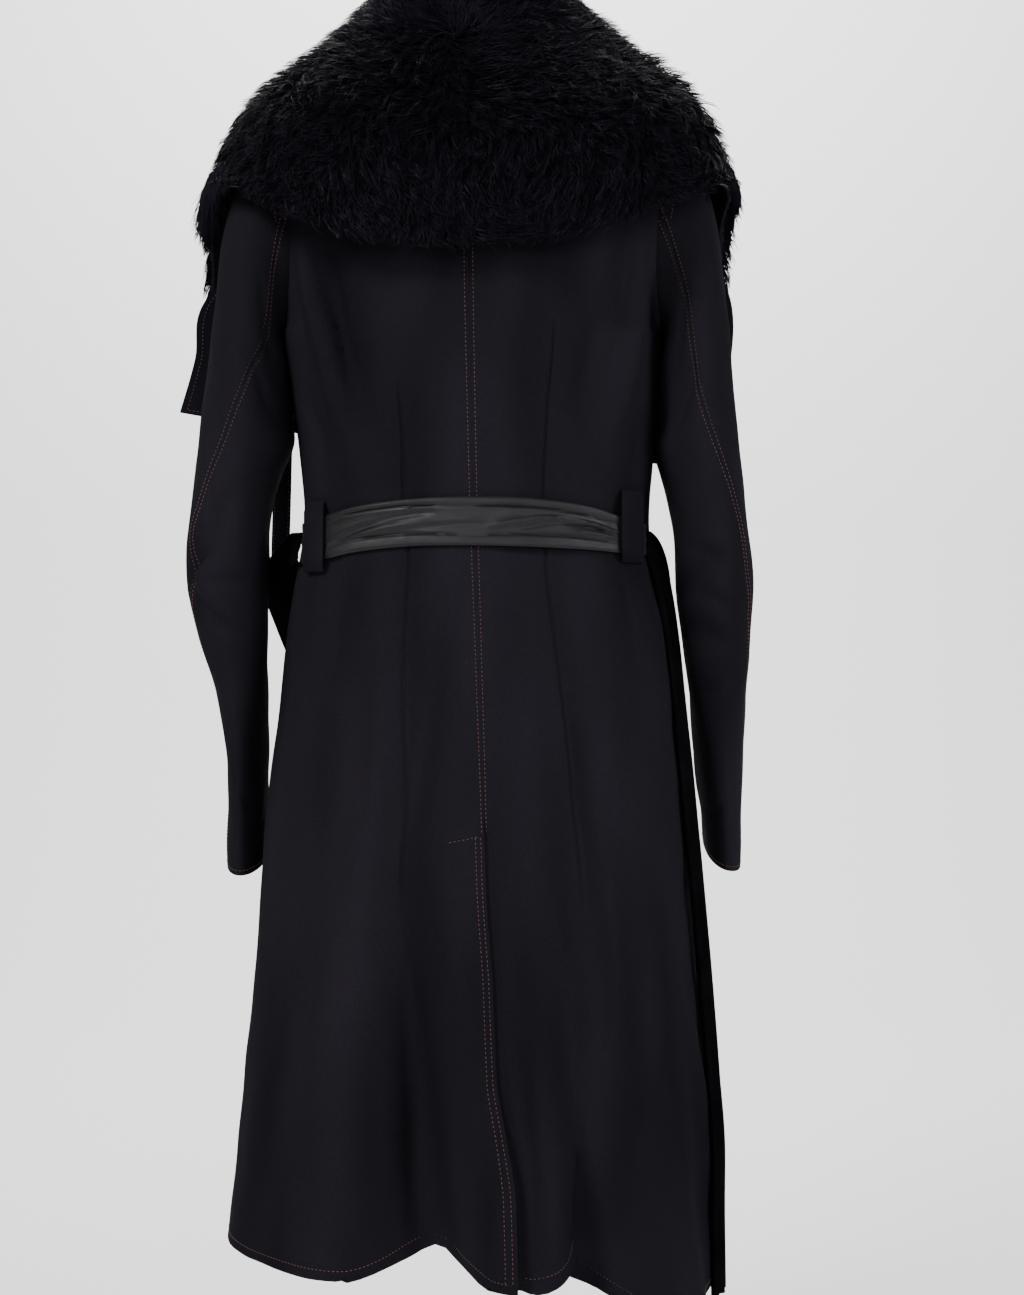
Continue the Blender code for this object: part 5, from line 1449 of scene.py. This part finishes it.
def spread_roots(stations, profile, field, dice):
    """Evenly spread roots: rows along the collar, and points along each row."""
    deep = np.linalg.norm(field[..., 10:13], axis=-1).max(axis=0)
    arc = np.concatenate([[0], np.cumsum((deep[1:] + deep[:-1]) / 2 * np.diff(profile))])
    found = []
    level = LOCK_SPACING / 2
    while level < arc[-1]:
        place = np.interp(level, arc, profile)
        spacing = LOCK_SPACING * (INNER_SPACING if place < INSIDE_END else 1.0)
        line = read_field(stations, profile, field, stations, np.full(len(stations), place))[:, :3]
        along = np.concatenate([[0], np.cumsum(np.linalg.norm(np.diff(line, axis=0), axis=1))])
        count = int(along[-1] / spacing)
        spots = np.arange(count) + dice.random() + dice.uniform(-LOCK_JITTER, LOCK_JITTER, count)
        spots = spots / count
        shift = dice.uniform(-LOCK_JITTER, LOCK_JITTER, count) * spacing
        found.append(np.stack([
            np.interp(spots * along[-1], along, stations), np.interp(level + shift, arc, profile)], axis=1))
        level += spacing * LOCK_ROWS
    tries_u = dice.uniform(-1.2, 1.2, 40 * WHORL_LOCKS)
    tries_v = dice.uniform(3, 6, 40 * WHORL_LOCKS)
    near = read_field(stations, profile, field, tries_u, tries_v)[:, :3] - WHORL
    close = np.flatnonzero(np.linalg.norm(near, axis=1) < WHORL_REACH)[:WHORL_LOCKS]
    found.append(np.stack([tries_u[close], tries_v[close]], axis=1))
    station, place = np.concatenate(found).T
    return np.clip(station, -COLLAR_END, COLLAR_END), np.clip(place, 0.02, PROFILE_END)


def grid_steps(root, way):
    """How far a metre along a way goes by station and by place."""
    along, across = root[:, 7:10], root[:, 10:13]
    return (np.sum(way * along, axis=1) / np.linalg.norm(along, axis=1) ** 2,
            np.sum(way * across, axis=1) / np.linalg.norm(across, axis=1) ** 2)


def edge_bareness(station):
    """Where the collar's lower edge shows under short fur: 1 there and 0 elsewhere."""
    left = smooth_step(-station, 2.5, 2.9)
    right = smooth_step(station, 2.7, 3.1)
    front = smooth_step(np.abs(station), 5.0, 6.0)
    return np.maximum(np.maximum(left, right) * (1 - front), 0.75 * front)


def grow_fur():
    """The strands' ribbons, as arrays of points and faces with each strand's root place."""
    dice = np.random.default_rng(17)
    stations, profile, field = fur_field()
    station, place = spread_roots(stations, profile, field, dice)
    root = read_field(stations, profile, field, station, place)
    locks = len(station)
    way = fur_direction(root)
    # what the strands of a lock share
    inner = smooth_step(place, 1.6, 3.2)
    length = (INNER_LENGTH + (STRAND_LENGTH - INNER_LENGTH) * inner) * dice.uniform(0.75, 1.15, locks)
    shoulder = smooth_step(root[:, 0], 0.05, 0.16), smooth_step(root[:, 2], -0.13, -0.02)
    proud = PROUD + PROUD_RIGHT * shoulder[0] * shoulder[1]
    lift = dice.uniform(0.55, 1.0, locks)
    over_tip = proud * dice.random(locks) ** 2 * smooth_step(place, 2.5, 3.5)
    phase = dice.uniform(0, 2 * math.pi, locks)
    turns = dice.uniform(1.1, 2.0, locks)
    wave = dice.uniform(0.0008, 0.0019, locks)
    bend = dice.normal(0, LOCK_BEND, locks)

    def each(values):
        return np.repeat(values, LOCK_STRANDS, axis=0)[kept]

    # what each strand has of its own
    front = smooth_step(np.abs(np.repeat(station, LOCK_STRANDS)), FRONT_FUR.start, FRONT_FUR.end)
    kept = np.flatnonzero(dice.random(len(front)) > FRONT_FUR.thinned * front)
    count = len(kept)
    spread_side = dice.normal(0, SPREAD_SIDE, count) * LOCK_RADIUS
    spread_on = dice.normal(0, SPREAD_ON, count) * LOCK_RADIUS
    root = each(root)
    way = each(way)
    length = each(length) * dice.uniform(0.80, 1.06, count)
    lift = each(lift) * dice.uniform(0.92, 1.04, count)
    over_tip = each(over_tip) * dice.uniform(0.6, 1.1, count)
    phase = each(phase) + dice.normal(0, 0.28, count)
    turns = each(turns)
    wave = each(wave)
    bend = each(bend) + dice.normal(0, STRAND_BEND, count)
    loose = dice.random(count) < LOOSE_SHARE
    bend = np.where(loose, bend + dice.normal(0, LOOSE_BEND, count), bend)
    width = STRAND_WIDTH * dice.uniform(0.65, 1.25, count) * (1 + FRONT_FUR.wider * front[kept])
    twist = dice.normal(0, 0.6, count)
    station = each(station)
    place = each(place)
    size_v = np.linalg.norm(root[:, 10:13], axis=1)
    step_u, step_v = grid_steps(root, way)
    side_u, side_v = grid_steps(root, np.cross(root[:, 3:6], way))
    to_whorl = np.linalg.norm(root[:, :3] - WHORL, axis=1)
    crossing = dice.uniform(0.1, 0.8, count) * bell(to_whorl, WHORL_CROSSING)
    bare = edge_bareness(station)
    fringe = dice.uniform(0.004, 0.016, count) * (1 - bare) + 0.0004
    length = length * (1 - 0.65 * (smooth_step(place, PROFILE_END - 0.45, PROFILE_END) * bare))
    # the strands' points, from root to tip, and past the collar's edge where they reach over it
    line = []
    for t in np.linspace(0, 1, STRAND_POINTS):
        gather = 1 - GATHER * t ** 0.8
        on = spread_on * (1 - 0.5 * t) + length * (0.94 * t - crossing)
        off = spread_side * gather + length * bend * t * t
        off = off + wave * np.sin(phase + 2 * math.pi * turns * t) * (0.3 + 1.1 * t)
        u = station + on * step_u + off * side_u
        v = place + on * step_v + off * side_v
        here = read_field(stations, profile, field, u, np.clip(v, 0, PROFILE_END))
        over = np.maximum(v - PROFILE_END, 0) * size_v
        over = fringe * (1 - np.exp(-over / fringe))
        rise = 1 - (1 - t) ** 1.6
        bob = 0.5 * wave * np.cos(phase + 2 * math.pi * turns * t) * t
        depth = here[:, 6] * (ROOT_LEVEL - ROOT_LEVEL * rise * lift) - over_tip * t ** 1.5 - bob
        points = here[:, :3] - here[:, 3:6] * depth[:, None]
        slope = unit(read_field(stations, profile, field, u, np.full(count, float(PROFILE_END)))[:, 10:13])
        points = points + (slope + np.array([0.0, 0.0, -0.35])) * over[:, None]
        line.append((points, here[:, 3:6]))
    # ribbons along the points, each twisted by its own angle
    points, normals = (np.stack(values, axis=1) for values in zip(*line))
    tangent = unit(np.gradient(points, axis=1))
    side = unit(np.cross(normals, tangent))
    lean = np.cross(tangent, side)
    twist = twist[:, None, None]
    side = side * np.cos(twist) + lean * np.sin(twist)
    half = side * (width[:, None] * TAPER[None, :] / 2)[..., None]
    return points - half, points + half, points[:, -1], station, place


# Long fur that hangs from the collar's two corners over the cloth under it
CORNERS = table_of(
    "start end middle_x reach short long count",
    (-5.2, -3.05, -0.240, 0.014, 0.012, 0.050, 1300),
    (3.3, 5.4, 0.236, 0.014, 0.008, 0.022, 700),
)


def hanging_fur():
    """Ribbons like those of grow_fur that hang from the collar's corners."""
    dice = np.random.default_rng(23)
    parts = []
    for corner in CORNERS:
        count = corner.count
        station = dice.uniform(corner.start, corner.end, count)
        place = PROFILE_END - dice.uniform(0.0, 0.25, count)
        root = collar_surface(station, place)
        near = bell(root[:, 0] - corner.middle_x, corner.reach)
        length = (corner.short + (corner.long - corner.short) * near) * dice.uniform(0.6, 1.05, count)
        way = unit(np.stack([
            dice.normal(0.0, 0.16, count), dice.normal(-0.03, 0.06, count), -np.ones(count)], axis=1))
        phase = dice.uniform(0, 2 * math.pi, count)
        t = np.linspace(0, 1, STRAND_POINTS)[None, :, None]
        wave = 0.0016 * np.sin(phase[:, None, None] + 5.5 * t) * t
        depth = FORWARD * dice.uniform(0.002, 0.012, count)[:, None]
        points = (root + depth)[:, None] + way[:, None] * length[:, None, None] * t
        points = points + wave * np.array([1.0, 0.4, 0.0])
        width = STRAND_WIDTH * dice.uniform(0.6, 1.2, count)[:, None, None]
        half = width * TAPER[None, :, None] / 2 * np.array([1.0, 0.0, 0.0])
        parts.append((points - half, points + half, points[:, -1], station, place))
    return [np.concatenate(values) for values in zip(*parts)]


def fur_pieces():
    """The strands in pieces of less than 200,000 triangles each."""
    left, right, tips, station, place = (
        np.concatenate(values) for values in zip(grow_fur(), hanging_fur()))
    last = STRAND_POINTS - 1
    inside = place < INSIDE_END
    groups = (
        ("fur_inside", inside),
        ("fur_back_left", ~inside & (station <= 0) & (station > -3.0)),
        ("fur_back_right", ~inside & (station > 0) & (station < 3.0)),
        ("fur_front_left", ~inside & (station <= -3.0)),
        ("fur_front_right", ~inside & (station >= 3.0)),
    )
    pieces = []
    for name, chosen in groups:
        count = int(chosen.sum())
        verts = np.concatenate([
            np.stack([left[chosen][:, :last], right[chosen][:, :last]], axis=2).reshape(count, -1, 3),
            tips[chosen][:, None]], axis=1)
        size = 2 * last + 1
        pattern = []
        for k in range(last - 1):
            pattern += [[2 * k, 2 * k + 1, 2 * k + 3], [2 * k, 2 * k + 3, 2 * k + 2]]
        pattern.append([2 * last - 2, 2 * last - 1, 2 * last])
        faces = (size * np.arange(count))[:, None, None] + np.array(pattern)[None]
        pieces.append(make_mesh(name, verts.reshape(-1, 3), faces.reshape(-1, 3), FUR))
    return pieces


# The stations over which the skin's edge shows, on each side
SKIN_EDGES = (("collar_edge_left", (-3.9, -2.6)), ("collar_edge_right", (2.9, 3.8)))


def collar_edge():
    """The thin pale cut edge of the fur's skin, where it shows at the collar's two corners."""
    profile = np.array([PROFILE_END - 0.02, PROFILE_END + 0.010, PROFILE_END + EDGE_LIP])
    return [collar_sheet(
        name, profile, lambda place: pile_depth(place) - EDGE_SKIN,
        lambda place: pile_depth(place) + EDGE_SKIN / 3, SKIN, ends, 80) for name, ends in SKIN_EDGES]


def dress():
    """Makes every piece of the coat."""
    body_thread = finish_piece(stitch_mesh("stitching_body", back_stitches()), "wool")
    sleeve_thread = finish_piece(stitch_mesh("stitching_sleeves", sleeve_stitches()), "wool")
    for panel, side, make in (
            ("back_left", -1, fine_back), ("back_right", 1, fine_back),
            ("front_left", -1, fine_front), ("front_right", 1, fine_front)):
        piece = finish_piece(make(panel, side), "wool", panel)
    for side, rings, side_name in ((-1, SLEEVE_LEFT, "left"), (1, SLEEVE_RIGHT, "right")):
        upper, under = fine_sleeve(side, rings, side_name)
        finish_piece(upper, "wool", "sleeve_upper_" + side_name)
        finish_piece(under, "wool", "sleeve_under_" + side_name)
        lapel, rows = fine_lapel(side, side_name)
        finish_piece(lapel, "wool", "lapel_" + side_name)
        if side < 0:
            tab, tab_rows = fine_tab()
            finish_piece(tab, "wool", "tab_left")
            rows = rows + tab_rows
        thread = finish_piece(stitch_mesh("stitching_lapel_" + side_name, rows), "wool")
    finish_piece(fine_belt(), "leather", "belt_back")
    for name, table, edges, seed in (
            ("belt_end_left", BELT_END_LEFT, STRAP_EDGES_LEFT, 1.0),
            ("belt_end_right", BELT_END_RIGHT, STRAP_EDGES_RIGHT, 2.3)):
        finish_piece(fine_strap(name, table, edges, seed), "leather", name)
    for loop in BELT_LOOPS:
        piece = finish_piece(fine_loop(loop), "wool", loop.name)
    under = collar_sheet(
        "under_collar_cloth", fill([UNDER_COLLAR_START, PROFILE_END + CLOTH_LIP], 0.08),
        lambda place: pile_depth(place) + SEAM_GAP,
        lambda place: pile_depth(place) + SEAM_GAP + UNDER_COLLAR_CLOTH, WOOL)
    finish_piece(under, "wool", "under_collar")
    skin = collar_sheet("fur_skin", fill([0, PROFILE_END], 0.125),
                        lambda place: pile_depth(place) * SKIN_LEVEL, pile_depth, FUR)
    finish_piece(skin, "fur", "fur_collar")
    fur = [finish_piece(piece, "fur", "fur_collar") for piece in fur_pieces() + collar_edge()]


# Camera and light
CAMERA_PLACE = (0.034, -1.7, -0.52)
FRAME_FOCUS = 1889 / 1295
SENSOR = 24.0
FLOOR_DROP = 1.35
WALL_PLACE = 3.6
WALL_BEND = 1.2
WALL_HEIGHT = 5.0
FLOOR_END = 9.0
WORLD_LIGHT = 0.20
# The lights: name, place, target, size, power and colour
LIGHTS = (
    ("key", (-1.7, -1.9, 1.5), (0, 0, -0.40), (0.8, 0.8), 92, (1.0, 0.985, 1.0)),
    ("fill", (2.3, -1.5, 0.7), (0.05, 0, -0.45), (0.9, 1.4), 58, (0.97, 0.97, 1.0)),
    ("front", (0.1, -3.0, 0.1), (0.0, 0, -0.45), (0.9, 0.9), 30, (1, 1, 1)),
    ("wall", (0.0, 1.2, 2.4), (0, 3.4, 0.2), (3.0, 1.2), 260, (1, 1, 1)),
)


def add_light(name, place, target, size, energy, colour):
    """A rectangular area light that faces its target."""
    data = bpy.data.lights.new(name, "AREA")
    data.shape = "RECTANGLE"
    data.size, data.size_y = size
    data.energy = energy
    data.color = colour
    light = bpy.data.objects.new(name, data)
    light.location = place
    light.rotation_euler = (Vector(target) - Vector(place)).to_track_quat("-Z", "Y").to_euler()
    bpy.context.scene.collection.objects.link(light)


def set_stage():
    """The camera behind the coat, four soft lights and a pale floor that bends up into a wall."""
    scene = bpy.context.scene
    data = bpy.data.cameras.new("camera")
    data.sensor_fit = "VERTICAL"
    data.sensor_height = SENSOR
    data.lens = SENSOR * FRAME_FOCUS
    scene.camera = bpy.data.objects.new("camera", data)
    scene.camera.location = CAMERA_PLACE
    scene.camera.rotation_euler = (math.pi / 2, 0, 0)
    scene.collection.objects.link(scene.camera)
    for light in LIGHTS:
        add_light(*light)
    scene.world = bpy.data.worlds.new("studio")
    scene.world.use_nodes = True
    background = scene.world.node_tree.nodes["Background"]
    background.inputs["Color"].default_value = (1, 1, 1, 1)
    background.inputs["Strength"].default_value = WORLD_LIGHT
    material = new_material("pale_floor", (0.9, 0.9, 0.9), 0.8)[0]
    bend = np.linspace(0, math.pi / 2, 13)
    run = np.concatenate([[-FLOOR_END], WALL_PLACE - WALL_BEND + WALL_BEND * np.sin(bend), [WALL_PLACE]])
    rise = np.concatenate([[0.0], WALL_BEND * (1 - np.cos(bend)), [WALL_HEIGHT]]) - FLOOR_DROP
    points = np.array([(x, y, z) for y, z in zip(run, rise) for x in (-FLOOR_END, FLOOR_END)])
    first = 2 * np.arange(len(run) - 1)[:, None]
    make_mesh("floor", points, first + np.array([[0, 1, 3, 2]]), material)


set_stage()
dress()
